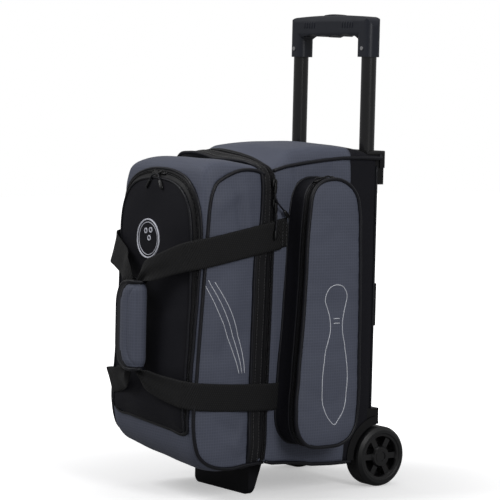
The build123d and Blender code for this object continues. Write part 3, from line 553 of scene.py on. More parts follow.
def thread_look(name, colour):
    """Embroidery and sewing thread, twisted and slightly shiny."""
    look = Look(name, colour, 0.45, Sheen_Weight=0.3)
    x, y, z = look.axes()
    twist = look.wave(look.math("ADD", look.math("ADD", x, y), z), 0.9)
    fuzz = look.noise(400.0, 3.0)
    look.paint(look.tint(fuzz, 0.85, 1.05), look.shade(twist, 0.8, 1.0))
    look.bump(twist, 0.15, 0.6)
    return look.material


GREY = ripstop("grey_ripstop", linear(76, 80, 94))
BLACK = plain_weave("black_cloth", linear(20, 20, 26))
LINING = plain_weave("lining_cloth", linear(44, 45, 50), 1.6, 0.8)
WEB = twill("black_webbing", linear(19, 19, 20))
TAPE = ribbed_tape("zip_tape_cloth", linear(14, 14, 17))
PIPING = ribbed_tape("piping_cloth", linear(14, 15, 22), 2.2, 0.4)
TEETH = moulded("zip_coil", linear(15, 15, 18), 0.32)
PULL = lacquered("slider_black", linear(13, 13, 15), 0.35, 0.1)
GRIP = moulded("grip_moulding", linear(25, 28, 37), 0.36, shine=0.4)
PLASTIC = moulded("black_moulding", linear(10, 10, 12), 0.4)
FOOT = moulded("foot_moulding", linear(16, 16, 20), 0.55, shine=0.16)
TUBES = lacquered("tube_black", linear(16, 16, 18), 0.22)
STEEL = metal("steel", linear(190, 190, 192), 0.3)
TYRE = rubber("tyre_rubber", linear(11, 12, 14))
HUB = moulded("hub_moulding", linear(10, 10, 12), 0.28, coat=0.3, shine=0.5)
BUSH = moulded("bush_acetal", linear(196, 194, 186), 0.4)
FOAM = foam_look("foam_knit", linear(62, 63, 68))
BOARD = moulded("base_board", linear(40, 40, 43), 0.6)
WHITE = thread_look("pale_thread", linear(222, 224, 236))
PRINT = thread_look("pale_print", linear(226, 229, 238))
STITCH = thread_look("dark_thread", linear(34, 34, 38))

CAD_LOOKS = {
    GRIP: ("tow_grip", "release_button"),
    TUBES: ("tow_tube_right", "tow_tube_left", "guide_tube_right", "guide_tube_left"),
    PLASTIC: ("tube_top_housing", "tube_plugs", "wheel_housing_right", "wheel_housing_left",
              "back_skid_right", "back_skid_left"),
    FOOT: ("front_foot",),
    TYRE: ("wheel_tyre_right", "wheel_tyre_left"),
    HUB: ("wheel_hub_right", "wheel_hub_left", "wheel_cap_right", "wheel_cap_left"),
    BUSH: ("wheel_bush_right", "wheel_bush_left"),
    STEEL: ("wheel_axle_right", "wheel_axle_left", "grip_rivets", "lock_pins", "foot_screws",
            "release_link"),
    BOARD: ("base_board",),
}


def dress_cad_nodes():
    """Gives every CAD piece that stays its own material."""
    for look, names in CAD_LOOKS.items():
        for name in names:
            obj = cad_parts[name]
            obj.data.materials.clear()
            obj.data.materials.append(look)


# ================================================================ bag outlines
# Lid outline from the bottom of the zip, forward and up, to the zip on top:
# outer edge (y, z), side piping (y, z), crown at the middle.
LID_EDGE = (
    (-60, 58, -60, 64, 1),
    (-90, 56.5, -90, 62.5, 1),
    (-122, 55, -122, 59, 2),
    (-155, 56, -153, 62, 2),
    (-184, 66, -176, 71, 2),
    (-199, 86, -190, 83, 2),
    (-206, 120, -199, 103, 2),
    (-206, 150, -203.5, 130, 3),
    (-203, 220, -199, 220, 3),
    (-197.5, 340, -191, 340, 3),
    (-191.5, 470, -182, 468, 3),
    (-190.5, 520, -179, 508, 4),
    (-189.5, 552, -174, 531, 5),
    (-184, 571, -166, 546, 5),
    (-168, 581, -150, 556, 4),
    (-145, 583.5, -133, 563.5, 3),
    (-118, 582, -114, 568.5, 3),
    (-97, 578.5, -97, 569, 4),
    (-82, 575.5, -83, 567.5, 4.5),
    (-60, 573, -66, 561, 4.5),
)
LID_CORNER = 18.0

# The photographed bag is slack on its left side.
LEFT_RISE = 9.0
TOP_CORNER_DROP = 11.0
LOW_EDGE_LIFT = 23.0
SHOULDER_Z = 562.0

# Zip line and the front edge of its welt, from the bottom corner up over the right
# shoulder to the middle of the top: zip (x, y, z), welt front edge (x, y, z).
ZIP_HALF = (
    (70, -54, 58.5, 70, -88, 56.5),
    (100, -54, 59, 100, -88, 57),
    (117, -55, 64, 117, -88, 62),
    (SIDE, -56, 80, SIDE, -88, 78),
    (SIDE, -54, 150, SIDE, -87, 148),
    (SIDE, -49, 330, SIDE, -83.5, 329),
    (SIDE, -47, 430, SIDE, -80, 430),
    (SIDE, -45.5, 480, SIDE, -71, 479),
    (SIDE, -45, 520, SIDE, -69, 518),
    (SIDE, -46.5, 548, SIDE, -70, 550),
    (SIDE - 2, -49, 562, SIDE - 1.5, -73, 564),
    (SIDE - 9, -52, 571, SIDE - 8, -79, 573),
    (98, -53, 577, 98, -84, 579),
    (72, -53, 584.5, 72, -85, 581.5),
    (35, -52, 591, 35, -84, 582.5),
    (0, -51, 595, 0, -84, 582.5),
)

# Rear compartment: top outline (y, z at the corner line, piping z, crown)
REAR_TOP_EDGE = (
    (-50, 590, 566, 6),
    (-20, 598, 574, 8),
    (22, 605, 580, 8),
    (64, 607, 585, 8),
    (107, 606, 588.5, 8),
    (148, 602, 589, 5),
    (168, 598.5, 588.5, 1.5),
    (196, 597.5, 588, 1),
)
REAR_BOTTOM = ((-56, 67), (-34, 62), (-10, 61), (35, 56), (53, 52.5), (100, 50), (210, 50))
BACK_CORNER = 28.0
GREY_END = BACK_START
ZIP_TOP_Y = -45

# The back panel stops above the skid guards and runs down to the floor between them.
GUARD_TOP = 142.0
BETWEEN_GUARDS = 81.0


def seam_y(z):
    """Y of the zip line on the bag's side at a height."""
    edge = ZIP_HALF[3:10]
    return np.interp(z, [p[2] for p in edge], [p[1] for p in edge])


def welt_y(z):
    """Y of the welt's front edge on the bag's side at a height."""
    edge = ZIP_HALF[3:10]
    return np.interp(z, [p[5] for p in edge], [p[4] for p in edge])


def rear_bottom_z(y):
    return np.interp(y, [p[0] for p in REAR_BOTTOM], [p[1] for p in REAR_BOTTOM])


def rear_top_z(y):
    return np.interp(y, [p[0] for p in REAR_TOP_EDGE], [p[2] for p in REAR_TOP_EDGE])


def arch_z(y):
    """The top of the wheel arch at Y, or the floor of the bag where there is no arch."""
    reach = ARCH_R**2 - (y - WHEEL[1]) ** 2
    return np.where(reach > 0, WHEEL[2] + np.sqrt(np.maximum(reach, 0)), 0.0)


def corner_strip(edge, corner, across=13):
    """Cross-sections of a panel that rounds over on to the bag's sides.

    Each row of edge holds the outer line (y, z), the piping (y, z) and the crown."""
    outer, piping, crown = edge[:, 0:2], edge[:, 2:4], edge[:, 4]
    t = tangents(outer)
    out = np.column_stack([-t[:, 1], t[:, 0]])
    centre = np.array([outer[:, 0].mean(), BAG_MIDDLE[2]])
    out *= np.sign(np.sum(out * (outer - centre), axis=1))[:, None]
    flat = SIDE - corner
    rows = []
    for a, b, n, c in zip(outer, piping, out, crown):
        row = []
        for x in np.linspace(0, flat, across):
            p = a + n * c * (1 - (x / SIDE) ** 2)
            row.append((x, p[0], p[1]))
        for k in range(1, 8):
            angle = math.pi / 2 * k / 7
            x = flat + corner * math.sin(angle)
            p = a + (b - a) * (1 - math.cos(angle)) + n * c * (1 - (x / SIDE) ** 2)
            row.append((x, p[0], p[1]))
        rows.append([(-x, y, z) for x, y, z in row[:0:-1]] + row)
    return np.array(rows)


def slack(grid, amount, size, seed, toward=BAG_MIDDLE):
    """Moves a sheet's points in and out a little, as slack fabric does."""
    m, n = grid.shape[:2]
    du, dv = np.gradient(grid, axis=0), np.gradient(grid, axis=1)
    normal = np.cross(du, dv)
    normal /= np.maximum(np.linalg.norm(normal, axis=2), 1e-9)[:, :, None]
    facing = np.sum(normal * (grid - np.array(toward, float)), axis=2)
    normal *= np.where(facing < 0, -1, 1)[:, :, None]
    height = ripple(grid.reshape(-1, 3), amount, size, seed).reshape(m, n)
    return grid + normal * height[:, :, None], normal


def panel_grid(loop, levels, across):
    """A grid over the inside of a convex outline of (u, v) points, in rows of equal v."""
    loop = np.array(loop, float)
    low, high = loop[:, 1].min(), loop[:, 1].max()
    ease = (1 - np.cos(np.linspace(0, math.pi, levels))) / 2
    ease = 0.5 * ease + 0.5 * np.linspace(0, 1, levels)
    nxt = np.roll(loop, -1, axis=0)
    rows = []
    for v in low + (high - low) * np.clip(ease, 1e-4, 1 - 1e-4):
        cut = (loop[:, 1] - v) * (nxt[:, 1] - v) <= 0
        a, b = loop[cut], nxt[cut]
        share = (v - a[:, 1]) / np.where(abs(b[:, 1] - a[:, 1]) < 1e-9, 1e-9, b[:, 1] - a[:, 1])
        u = a[:, 0] + np.clip(share, 0, 1) * (b[:, 0] - a[:, 0])
        rows.append([(w, v) for w in np.linspace(u.min(), u.max(), across)])
    return np.array(rows)


def edge_distance(points, loop):
    """How far each (u, v) point is from an outline."""
    a = np.array(loop, float)
    b = np.roll(a, -1, axis=0)
    d = b - a
    p = np.array(points, float).reshape(-1, 2)
    out = np.full(len(p), 1e9)
    for start, step in zip(a, d):
        t = np.clip(((p - start) @ step) / max(step @ step, 1e-9), 0, 1)
        out = np.minimum(out, np.linalg.norm(p - start - t[:, None] * step, axis=1))
    return out.reshape(np.array(points).shape[:-1])


def dome(distance, width, height):
    """The height of stuffed fabric at a distance from its seam."""
    t = np.clip(distance / width, 0, 1)
    return height * (1 - (1 - t) ** 2)


def padded(flat, inward, stuffing, waves, folds, fade_over=12):
    """Heights of a stuffed, slack panel over flat (x, y, z) points, nothing at its seam."""
    fade = np.clip(inward / fade_over, 0, 1)
    height = dome(inward, *stuffing)
    height += ripple(flat, *waves).reshape(inward.shape) * fade
    return height + folded(flat, folds, inward.shape) * fade


# ================================================================ small shapes
def pebble(name, centre, axes, size, material, body, power=4.0, around=20, rings=12):
    """A rounded block: a superellipsoid of full size along three given axes."""
    axes = [np.array(a, float) / np.linalg.norm(a) for a in axes]
    half = np.array(size, float) / 2

    def ease(value):
        return math.copysign(abs(value) ** (2 / power), value)

    points = []
    for i in range(rings + 1):
        lat = math.pi * (i / rings - 0.5)
        for k in range(around):
            lon = 2 * math.pi * k / around
            local = (
                half[0] * ease(math.cos(lat)) * ease(math.cos(lon)),
                half[1] * ease(math.cos(lat)) * ease(math.sin(lon)),
                half[2] * ease(math.sin(lat)),
            )
            points.append(np.array(centre, float) + sum(v * a for v, a in zip(local, axes)))
    obj = make(name, points, quads(rings + 1, around), material, body)
    tidy_mesh(obj)
    return obj


def tidy_mesh(obj):
    """Joins doubled points and makes the faces point outwards."""
    work = bmesh.new()
    work.from_mesh(obj.data)
    bmesh.ops.remove_doubles(work, verts=work.verts, dist=1e-5)
    bmesh.ops.recalc_face_normals(work, faces=work.faces)
    work.to_mesh(obj.data)
    work.free()


def joined(name, parts):
    """Several finished meshes on one body as one piece."""
    bpy.ops.object.select_all(action="DESELECT")
    for part in parts:
        part.select_set(True)
    bpy.context.view_layer.objects.active = parts[0]
    bpy.ops.object.join()
    parts[0].name = name
    parts[0].data.name = name
    return parts[0]


def chain(name, path, across, out, material, body, pitch=2.6, size=(1.5, 3.4, 1.8), start=0.0):
    """Zip coils along a line: a small block every pitch."""
    path = np.array(path, float)
    both = curve(np.column_stack([path, across, out]), step=pitch)
    t = tangents(both[:, :3])
    rows = []
    for i in range(len(both) - 1):
        centre = both[i, :3] + (both[i + 1, :3] - both[i, :3]) * start
        up = both[i, 6:9] / np.linalg.norm(both[i, 6:9])
        side = np.cross(up, t[i])
        rows.append((centre, t[i], side / np.linalg.norm(side), up))
    return blocks(name, rows, size, material, body)


def dashes(name, path, out, material, body, stitch=3.4, gap=1.6, width=0.9, lift=0.25):
    """A line of sewing stitches lying on a surface."""
    path = np.array(path, float)
    even = curve(np.column_stack([path, out]), step=stitch + gap)
    t = tangents(even[:, :3])
    rows = []
    for i in range(len(even) - 1):
        up = even[i, 3:6] / max(np.linalg.norm(even[i, 3:6]), 1e-9)
        side = np.cross(up, t[i])
        centre = (even[i, :3] + even[i + 1, :3]) / 2 + up * lift
        rows.append((centre, t[i], side / max(np.linalg.norm(side), 1e-9), up))
    return blocks(name, rows, (stitch, width, 0.7), material, body)


def slider(name, centre, along, out, body, pull_end, tail_end):
    """A zip slider: body, bridge, metal tab and a cord with a moulded end."""
    centre = np.array(centre, float)
    along = np.array(along, float) / np.linalg.norm(along)
    out = np.array(out, float) / np.linalg.norm(out)
    across = np.cross(out, along)
    bridge = [centre + along * u + out * h
              for u, h in ((5, 1.8), (4, 4.4), (0, 5.2), (-4, 4.4), (-5, 1.8))]
    parts = [
        pebble(name + "_body", centre, (along, across, out), (15, 10.5, 4.6), PULL, body, 3.2),
        tube(name + "_bridge", bridge, 0.9, PULL, body),
    ]
    hook = centre + out * 4.2
    reach = np.array(pull_end, float) - hook
    way = reach / np.linalg.norm(reach)
    flat = np.cross(way, out)
    tab = hook + way * 9
    parts.append(pebble(name + "_tab", tab, (way, flat, out), (20, 5.5, 1.8), PULL, body, 3.0))
    first = hook + way * 17
    path = curve([first, first + way * 6 + out * 0.6, np.array(tail_end, float)], count=12)
    parts.append(tube(name + "_cord", path, 1.5, PIPING, body, sides=8))
    end = path[-1] - path[-2]
    end /= np.linalg.norm(end)
    parts.append(pebble(name + "_end", path[-1] + end * 4, (end, np.cross(end, out), out),
                        (17, 6.5, 5), PULL, body, 3.4))
    return joined(name, parts)


# ================================================================ lid
LID_SIDE_FOLDS = (
    ((0, -178, 500), (0, -100, 540), 13, 2.4),
    ((0, -128, 556), (0, -106, 430), 8, -4.6),
    ((0, -106, 548), (0, -92, 440), 7, 3.4),
    ((0, -165, 150), (0, -98, 108), 9, -3.6),
    ((0, -150, 118), (0, -95, 82), 8, 3.0),
    ((0, -120, 88), (0, -92, 150), 8, 2.8),
    ((0, -170, 250), (0, -150, 350), 16, 1.6),
    ((0, -112, 230), (0, -104, 390), 12, -1.8),
)


def build_lid():
    """The lid: front and top sheet, side panels, piping."""
    edge = curve(LID_EDGE, step=7)
    grid, _ = slack(corner_strip(edge, LID_CORNER), 1.5, 55, 1, (0, -100, 330))
    slump(grid)
    front = sheet("lid_front_and_top", grid, GREY, "lid", 4, LINING, (0, -100, 330))
    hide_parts("lid_shell")
    piping = edge[:, 2:4]
    made = {"front": front}
    for label, sign in SIDES:
        rows = panel_grid(piping, 58, 24)
        inward = edge_distance(rows, piping)
        inward = np.clip(np.minimum(inward, welt_y(rows[:, :, 1]) - rows[:, :, 0]), 0, None)
        flat = np.dstack([np.zeros_like(inward), rows[:, :, 0], rows[:, :, 1]]).reshape(-1, 3)
        height = padded(flat, inward, (40, 3.0), (1.6, 70, 3 + sign), LID_SIDE_FOLDS)
        x = SIDE - 0.6 + np.maximum(height, -1.5)
        panel = np.dstack([sign * x, rows[:, :, 0], rows[:, :, 1]])
        slump(panel)
        made[label] = sheet(f"lid_side_{label}", panel, GREY, "lid", 4, LINING, (0, -110, 330),
                            held=inward < 2.5)
        path = np.column_stack([np.full(len(piping), sign * (SIDE + 0.8)), piping])
        slump(path)
        tube(f"lid_piping_{label}", path, PIPING_R, PIPING, "lid")
    return made


def over_shoulder(z):
    """0 on the bag's sides, 1 on its top."""
    return np.clip((z - SHOULDER_Z) / 18, 0, 1)


def left_rise(x, z):
    """How much higher the slack top lies over the left half of the bag."""
    return LEFT_RISE * np.sin(math.pi / 2 * np.clip(-x / 70, 0, 1)) * over_shoulder(z)


def slump(points):
    """Lowers the lid's front left top corner and lifts its front lower edge on the left."""
    x, y, z = points[..., 0], points[..., 1], points[..., 2]
    top = np.clip((-x - 55) / 65, 0, 1) ** 2 * np.clip((z - 480) / 80, 0, 1)
    lowered = z - TOP_CORNER_DROP * top * np.clip((-95 - y) / 45, 0, 1)
    foot = np.clip((95 - x) / 215, 0, 1) * np.clip((280 - lowered) / 160, 0, 1)
    points[..., 2] = lowered + LOW_EDGE_LIFT * foot * np.clip((-112 - y) / 55, 0, 1)


def zip_lines():
    """The zip line and its welt's front edge, over the whole bag, with outward directions."""
    half = curve(ZIP_HALF, step=5)
    whole = np.vstack([half, half[::-1][1:] * np.array([-1, 1, 1, -1, 1, 1])])
    whole[:, 2] += left_rise(whole[:, 0], whole[:, 2])
    whole[:, 5] += left_rise(whole[:, 3], whole[:, 5])
    seam, front = whole[:, :3], whole[:, 3:]
    out = unit(np.cross(tangents(seam), seam - front))
    centre = np.array([0, -60, 330.0])
    out *= np.sign(np.sum(out * (seam - centre), axis=1))[:, None]
    return seam, front, out


def build_zip():
    """The welt and zip tape on the lid, the tape on the main compartment, and their coils."""
    seam, front, out = zip_lines()
    back = unit(seam - front)
    profile = (
        (0.0, -1.0), (0.05, 2.4), (0.12, 3.2), (0.2, 2.6), (0.42, 3.0), (0.62, 2.8),
        (0.68, 2.9), (0.72, 1.2), (0.8, 1.0), (0.93, 1.0), (0.99, 0.8),
    )
    skirt = 1.0 + (2.0 + left_rise(front[:, 0], front[:, 2])) * over_shoulder(front[:, 2])
    rows = [front - out * skirt[:, None]]
    rows += [front + (seam - front) * v + out * h for v, h in profile]
    grid = np.transpose(np.array(rows), (1, 0, 2))
    welt = sheet("zip_welt_front", grid, TAPE, "lid", 1.6, TAPE, (0, -60, 330))
    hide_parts("zip_band_front")
    tube("zip_welt_piping", front + out * 1.6, 3.0, PIPING, "lid")
    for share, lift in ((0.24, 2.8), (0.60, 3.0)):
        dashes(f"zip_welt_stitch_{round(share * 100)}", front + (seam - front) * share + out * lift,
               out, STITCH, "lid")
    tape = [seam + back * v + out * h for v, h in ((0.4, 0.8), (1.6, 1.1), (2.8, 1.1), (4, 0.2))]
    tape = np.transpose(np.array(tape), (1, 0, 2))
    rear = sheet("zip_tape_rear", tape, TAPE, "root", 1.6, TAPE, (0, 60, 330))
    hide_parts("zip_band_rear")
    tube("zip_rear_piping", seam + back * 4 + out * 0.8, 1.9, PIPING, "root")
    chain("zip_coil_lid", seam - back * 1.9 + out * 1.6, back, out, TEETH, "lid")
    chain("zip_coil_rear", seam + back * 1.9 + out * 1.6, back, out, TEETH, "root", start=0.5)
    return seam


# ================================================================ front pocket
FRONT_OUTER = (
    (0, 124), (60, 124), (104, 124.5), (109, 127), (111, 150), (114, 240), (116.5, 350),
    (117, 430), (115.5, 476), (110, 508), (98, 533), (78, 551), (48, 562), (20, 566.5), (0, 567),
)
FRONT_INNER = (
    (0, 127.5), (60, 127.5), (100, 128), (104, 130.5), (105, 156), (106.5, 240), (107, 350),
    (106.5, 430), (104.5, 472), (99, 499), (87, 521), (69, 537), (42, 547), (20, 550), (0, 551),
)
FRONT_MIDDLE = np.array([0, -150, 350.0])
FRONT_HALF = 110

# The pocket's lower edge rises by FRONT_TILT from right to left.
FRONT_TILT, FRONT_DROP = 19.0, 5
FRONT_FOLDS = (
    ((-60, 0, 420), (60, 0, 440), 24, -1.2),
    ((70, 0, 470), (92, 0, 380), 14, -1.8),
    ((-80, 0, 220), (-30, 0, 170), 16, -1.6),
    ((40, 0, 330), (84, 0, 250), 16, 1.5),
    ((-90, 0, 150), (70, 0, 160), 12, 1.4),
)


def whole_loop(half):
    """A closed outline from its right half, bottom to top."""
    right = [tuple(p) for p in half]
    left = [(-u, v) for u, v in right[-2:0:-1]]
    return curve(right + left, count=180, closed=True)


def pocket_proud(z):
    """How far the front pocket's face stands off the lid at a height."""
    heights = (127, 133, 160, 240, 340, 470, 567)
    return np.interp(z, heights, (1.5, 4.0, 6.0, 6.5, 6.5, 11.0, 10.0))


def build_front_pocket(lid_front):
    """The padded front pocket: gusset with its zip, piping, face and sliders."""
    hit = surface_of(lid_front)

    def base_y(u, v):
        return hit((u, -CLEAR_OF_BAG, v), (0, 1, 0))[1]

    def outward(row):
        return unit((row - FRONT_MIDDLE) * (1, 0, 1))

    outer, inner = whole_loop(FRONT_OUTER), whole_loop(FRONT_INNER)
    for loop in (outer, inner):
        tilt = FRONT_TILT * (FRONT_HALF - loop[:, 0]) / (2 * FRONT_HALF) - FRONT_DROP
        loop[:, 1] += tilt * np.clip((300 - loop[:, 1]) / 160, 0, 1)
    inner_y = np.array([base_y(u, v) - pocket_proud(v) for u, v in inner])
    outer_y = np.array([base_y(u, v) - 0.3 for u, v in outer])
    face_edge = np.column_stack([inner[:, 0], inner_y, inner[:, 1]])
    wall_edge = np.column_stack([outer[:, 0], outer_y, outer[:, 1]])
    rows = []
    for share, puff in ((0, 0), (0.15, 1.8), (0.4, 2.2), (0.6, 2.0), (0.85, 1.2), (1, 0)):
        row = wall_edge + (face_edge - wall_edge) * share
        rows.append(row + outward(row) * puff)
    gusset = sheet("front_pocket_gusset", rows, TAPE, "lid", 1.5, TAPE, FRONT_MIDDLE, True)
    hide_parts("front_pocket_zip")

    grid = panel_grid(inner, 52, 34)
    inward = edge_distance(grid, inner)
    y = np.array([[base_y(u, v) - pocket_proud(v) for u, v in row] for row in grid])
    flat = np.dstack([grid[:, :, 0], np.zeros_like(y), grid[:, :, 1]]).reshape(-1, 3)
    height = padded(flat, inward, (34, 4.0), (1.7, 62, 9), FRONT_FOLDS, 14)
    grid3 = np.dstack([grid[:, :, 0], y - height, grid[:, :, 1]])
    face = sheet("front_pocket_face", grid3, BLACK, "lid", 3, LINING, (0, -100, 350),
                 held=inward < 2.0)
    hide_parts("front_pocket_panel")

    start = int(np.argmin(np.hypot(wall_edge[:, 0], wall_edge[:, 2])))
    arch = np.roll(np.arange(len(wall_edge)), -start)
    arch = arch[(abs(wall_edge[arch, 0]) > 109) | (wall_edge[arch, 2] > 300)]
    tube("front_pocket_piping", (face_edge - np.array([0, 0.6, 0]))[arch], 2.2, PIPING, "lid")
    tube("front_pocket_welt", (wall_edge - np.array([0, 1.0, 0]))[arch], 2.6, PIPING, "lid")
    middle = wall_edge + (face_edge - wall_edge) * 0.5
    out, way = outward(middle), unit(face_edge - wall_edge)
    arch = arch[middle[arch, 2] > 150]
    for label, side in (("face", 1.6), ("wall", -1.6)):
        chain(f"front_pocket_coil_{label}", (middle + way * side + out * 2.7)[arch],
              way[arch], out[arch], TEETH, "lid", *SMALL_COIL, 0.25 + side / 6.4)
    top = middle[np.argmax(middle[:, 2])]
    for label, sign in SIDES:
        spot = top + (13 * sign, -0.5, 1.4)
        slider(f"front_pocket_slider_{label}", spot, (sign, 0, -0.1), (0, -0.5, 0.85), "lid",
                   spot + (-22 * sign, -9, -5), spot + (-30 * sign, -11, -17))
    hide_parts("front_pocket_sliders")
    return face


def build_emblem(face):
    """A generic embroidered badge: a plain ball with three finger holes."""
    hit = surface_of(face)
    centre, radius = (-12.0, 446.0), 33.0
    rings = [("rim", centre, radius, 1.5), ("inner_rim", centre, radius - 5, 0.7)]
    for n, (dx, dz) in enumerate(((-7, 13), (8, 15), (3, 1))):
        rings.append((f"hole_{n}", (centre[0] + dx, centre[1] + dz), 3.8, 1.2))
    parts = []
    for label, (x, z), r, thick in rings:
        angles = np.linspace(0, 2 * math.pi, 49)[:-1]
        path = [(x + r * math.cos(a), 0, z + r * math.sin(a)) for a in angles]
        path = laid_on(hit, path, (0, -CLEAR_OF_BAG, 0), (0, 1, 0), 0.4)
        parts.append(tube(f"badge_{label}", path, thick, WHITE, "lid", closed=True, sides=8))
    joined("front_badge", parts)


# ================================================================ main compartment
MAIN_SIDE_FOLDS = (
    ((0, -20, 560), (0, 20, 520), 10, 1.8),
    ((0, -2, 578), (0, 4, 538), 6, -2.4),
    ((0, 34, 582), (0, 42, 548), 7, 2.2),
    ((0, 82, 584), (0, 76, 552), 7, -2.0),
    ((0, 60, 575), (0, 115, 545), 12, -1.8),
    ((0, -30, 120), (0, -20, 400), 7, -1.4),
    ((0, -25, 70), (0, 40, 90), 10, 1.6),
)


def build_main():
    """Side panels, top and piping of the main compartment."""
    for label, sign in SIDES:
        rows = []
        for share in np.linspace(0, 1, 40):
            y_guess = ZIP_TOP_Y + (GREY_END - ZIP_TOP_Y) * share
            z = np.linspace(rear_bottom_z(y_guess), rear_top_z(y_guess), 70)
            front = seam_y(z) + 2.5
            rows.append(np.column_stack([np.full(70, sign * SIDE),
                                         front + (GREY_END - front) * share, z]))
        grid = np.array(rows)
        flat = grid.reshape(-1, 3) * np.array([0, 1, 1])
        from_zip = np.linspace(0, 1, 40)[:, None] * 170
        from_floor, from_top = grid[:, :, 2] - grid[:, :1, 2], grid[:, -1:, 2] - grid[:, :, 2]
        edge = np.minimum(from_zip, np.minimum(from_floor, from_top))
        height = dome(edge, 35, 3.0)
        height += ripple(flat, 1.3, 60, 21 + sign).reshape(edge.shape) * np.clip(edge / 15, 0, 1)
        height += folded(flat, MAIN_SIDE_FOLDS, edge.shape)
        grid[:, :, 0] += sign * np.minimum(height, 3.6)
        side = sheet(f"main_side_{label}", grid, GREY, "root", WALL, LINING)
        if sign == RIGHT:
            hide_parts("main_shell")

    top = curve(REAR_TOP_EDGE, step=6)
    top5 = np.column_stack([top[:, 0], top[:, 1], top[:, 0], top[:, 2], top[:, 3]])
    grid, _ = slack(corner_strip(top5, 18), 1.4, 58, 31)
    over = ZIP_HALF[:8:-1]
    to_zip = np.interp(abs(grid[:, :, 0]), [p[0] for p in over], [p[2] for p in over]) + 0.6
    to_zip += left_rise(grid[:, :, 0], to_zip)
    fall = np.clip((grid[:, :, 1] + 50) / 46, 0, 1)
    fall = 1 - fall * fall * (3 - 2 * fall)
    grid[:, :, 2] -= np.maximum(grid[:, :, 2] - to_zip, 0) * fall
    split = int(np.argmin(abs(grid[:, 0, 1] - GREY_END))) + 1
    sheet("main_top", grid[:split], GREY, "root", 6, LINING)
    sheet("back_top", grid[split - 1:], BLACK, "root", 4, LINING)
    tube("back_top_piping", grid[-1] + np.array([0, 1, 0]), 2.8, PIPING, "root")

    for label, sign in SIDES:
        y = np.linspace(-46, 196, 60)
        path = np.column_stack([np.full(60, sign * (SIDE + 0.8)), y, rear_top_z(y) + 0.5])
        tube(f"main_top_piping_{label}", path, PIPING_R, PIPING, "root")
        y = np.linspace(-50, WHEEL[1] - ARCH_R - 2, 50)
        path = np.column_stack([np.full(50, sign * (SIDE + 0.4)), y, rear_bottom_z(y) - 1])
        tube(f"main_bottom_piping_{label}", path, PIPING_R, PIPING, "root")


def build_back():
    """The black back: side strips, rounded corners and back panel as one sheet."""
    flat_y = BACK - BACK_CORNER
    before_arch = np.linspace(GREY_END, WHEEL[1] - ARCH_R, 8)
    over_arch = np.linspace(WHEEL[1] - ARCH_R + 0.3, flat_y, 14)
    plan = [(SIDE, y) for y in np.concatenate([before_arch, over_arch])]
    for k in range(1, 7):
        a = math.pi / 2 * k / 6
        plan.append((SIDE - BACK_CORNER * (1 - math.cos(a)), flat_y + BACK_CORNER * math.sin(a)))
    plan += [(x, BACK) for x in np.linspace(SIDE - BACK_CORNER - 4, BETWEEN_GUARDS + 0.3, 6)]
    plan += [(x, BACK) for x in np.linspace(BETWEEN_GUARDS - 0.3, 0, 16)]
    plan = plan + [(-x, y) for x, y in plan[-2::-1]]
    columns = []
    for x, y in plan:
        if y < BACK - 0.5:
            low = max(float(rear_bottom_z(y)), float(arch_z(y)))
            if y > flat_y:
                low = max(low, GUARD_TOP - 2 * (BACK - y))
        else:
            low = GUARD_TOP if abs(x) > BETWEEN_GUARDS else BASE_LOW
        high = float(rear_top_z(y)) if y < 190 else HOUSING_HIGH[2] - 8
        if y > 196:
            high = HOUSING_LOW[2] + 34
        columns.append([(x, y, z) for z in np.linspace(low, high, 56)])
    grid = np.array(columns)
    height = ripple(grid.reshape(-1, 3), 1.4, 70, 41).reshape(grid.shape[:2])
    shift = np.zeros_like(grid)
    on_back = grid[:, :, 1] > BACK - 0.5
    shift[:, :, 1] = np.where(on_back, -abs(height), 0)
    side_share = np.where(on_back, 0, np.clip((grid[:, :, 2] - 80) / 60, 0, 1))
    shift[:, :, 0] = np.sign(grid[:, :, 0]) * height * 0.6 * side_share
    back = sheet("back_panel", grid + shift, BLACK, "root", 2.5, LINING)
    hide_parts("back_shell")
    for label, sign in SIDES:
        a = math.pi / 5
        x = SIDE - BACK_CORNER * (1 - math.cos(a)) + 0.8
        y = flat_y + BACK_CORNER * math.sin(a) + 0.6
        heights = np.linspace(float(arch_z(y)) + 20, HOUSING_LOW[2] + 33, 40)
        path = [(sign * x, y, z) for z in heights]
        tube(f"back_corner_piping_{label}", path, 2.6, PIPING, "root")
    board = [[(x, 155 - 1.5 * math.cos(x / 90), z) for z in np.linspace(58, 598, 20)]
             for x in np.linspace(-SIDE + 8, SIDE - 8, 20)]
    sheet("back_board_lining", board, LINING, "root", 2.5, LINING, (0, 400, 330))


def build_bottom():
    """The bottom panel and the hinge fabric that joins the lid to it."""
    stations = np.linspace(-46, WHEEL[1] - ARCH_R - 1, 30)
    rows = [[(x, y, rear_bottom_z(y) - 1.5 + 2.0 * (abs(x) / SIDE) ** 6)
             for x in np.linspace(-SIDE, SIDE, 30)] for y in stations]
    sheet("main_bottom", rows, GREY, "root", 6, LINING)
    rows = [[(x, y, BASE_LOW - 1.0) for x in np.linspace(-80.5, 80.5, 20)]
            for y in np.linspace(WHEEL[1] - ARCH_R - 1, BACK - 1, 12)]
    sheet("bottom_between_wheels", rows, BLACK, "root", 3, LINING)
    rows = [[(x, y, 59.5 - 1.2 * math.sin(math.pi * (y + 64) / 20))
             for x in np.linspace(-112, 112, 24)] for y in np.linspace(-64, -44, 9)]
    hinge = sheet("lid_hinge_cloth", rows, BLACK, None, 1.2, BLACK)
    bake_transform(hinge)


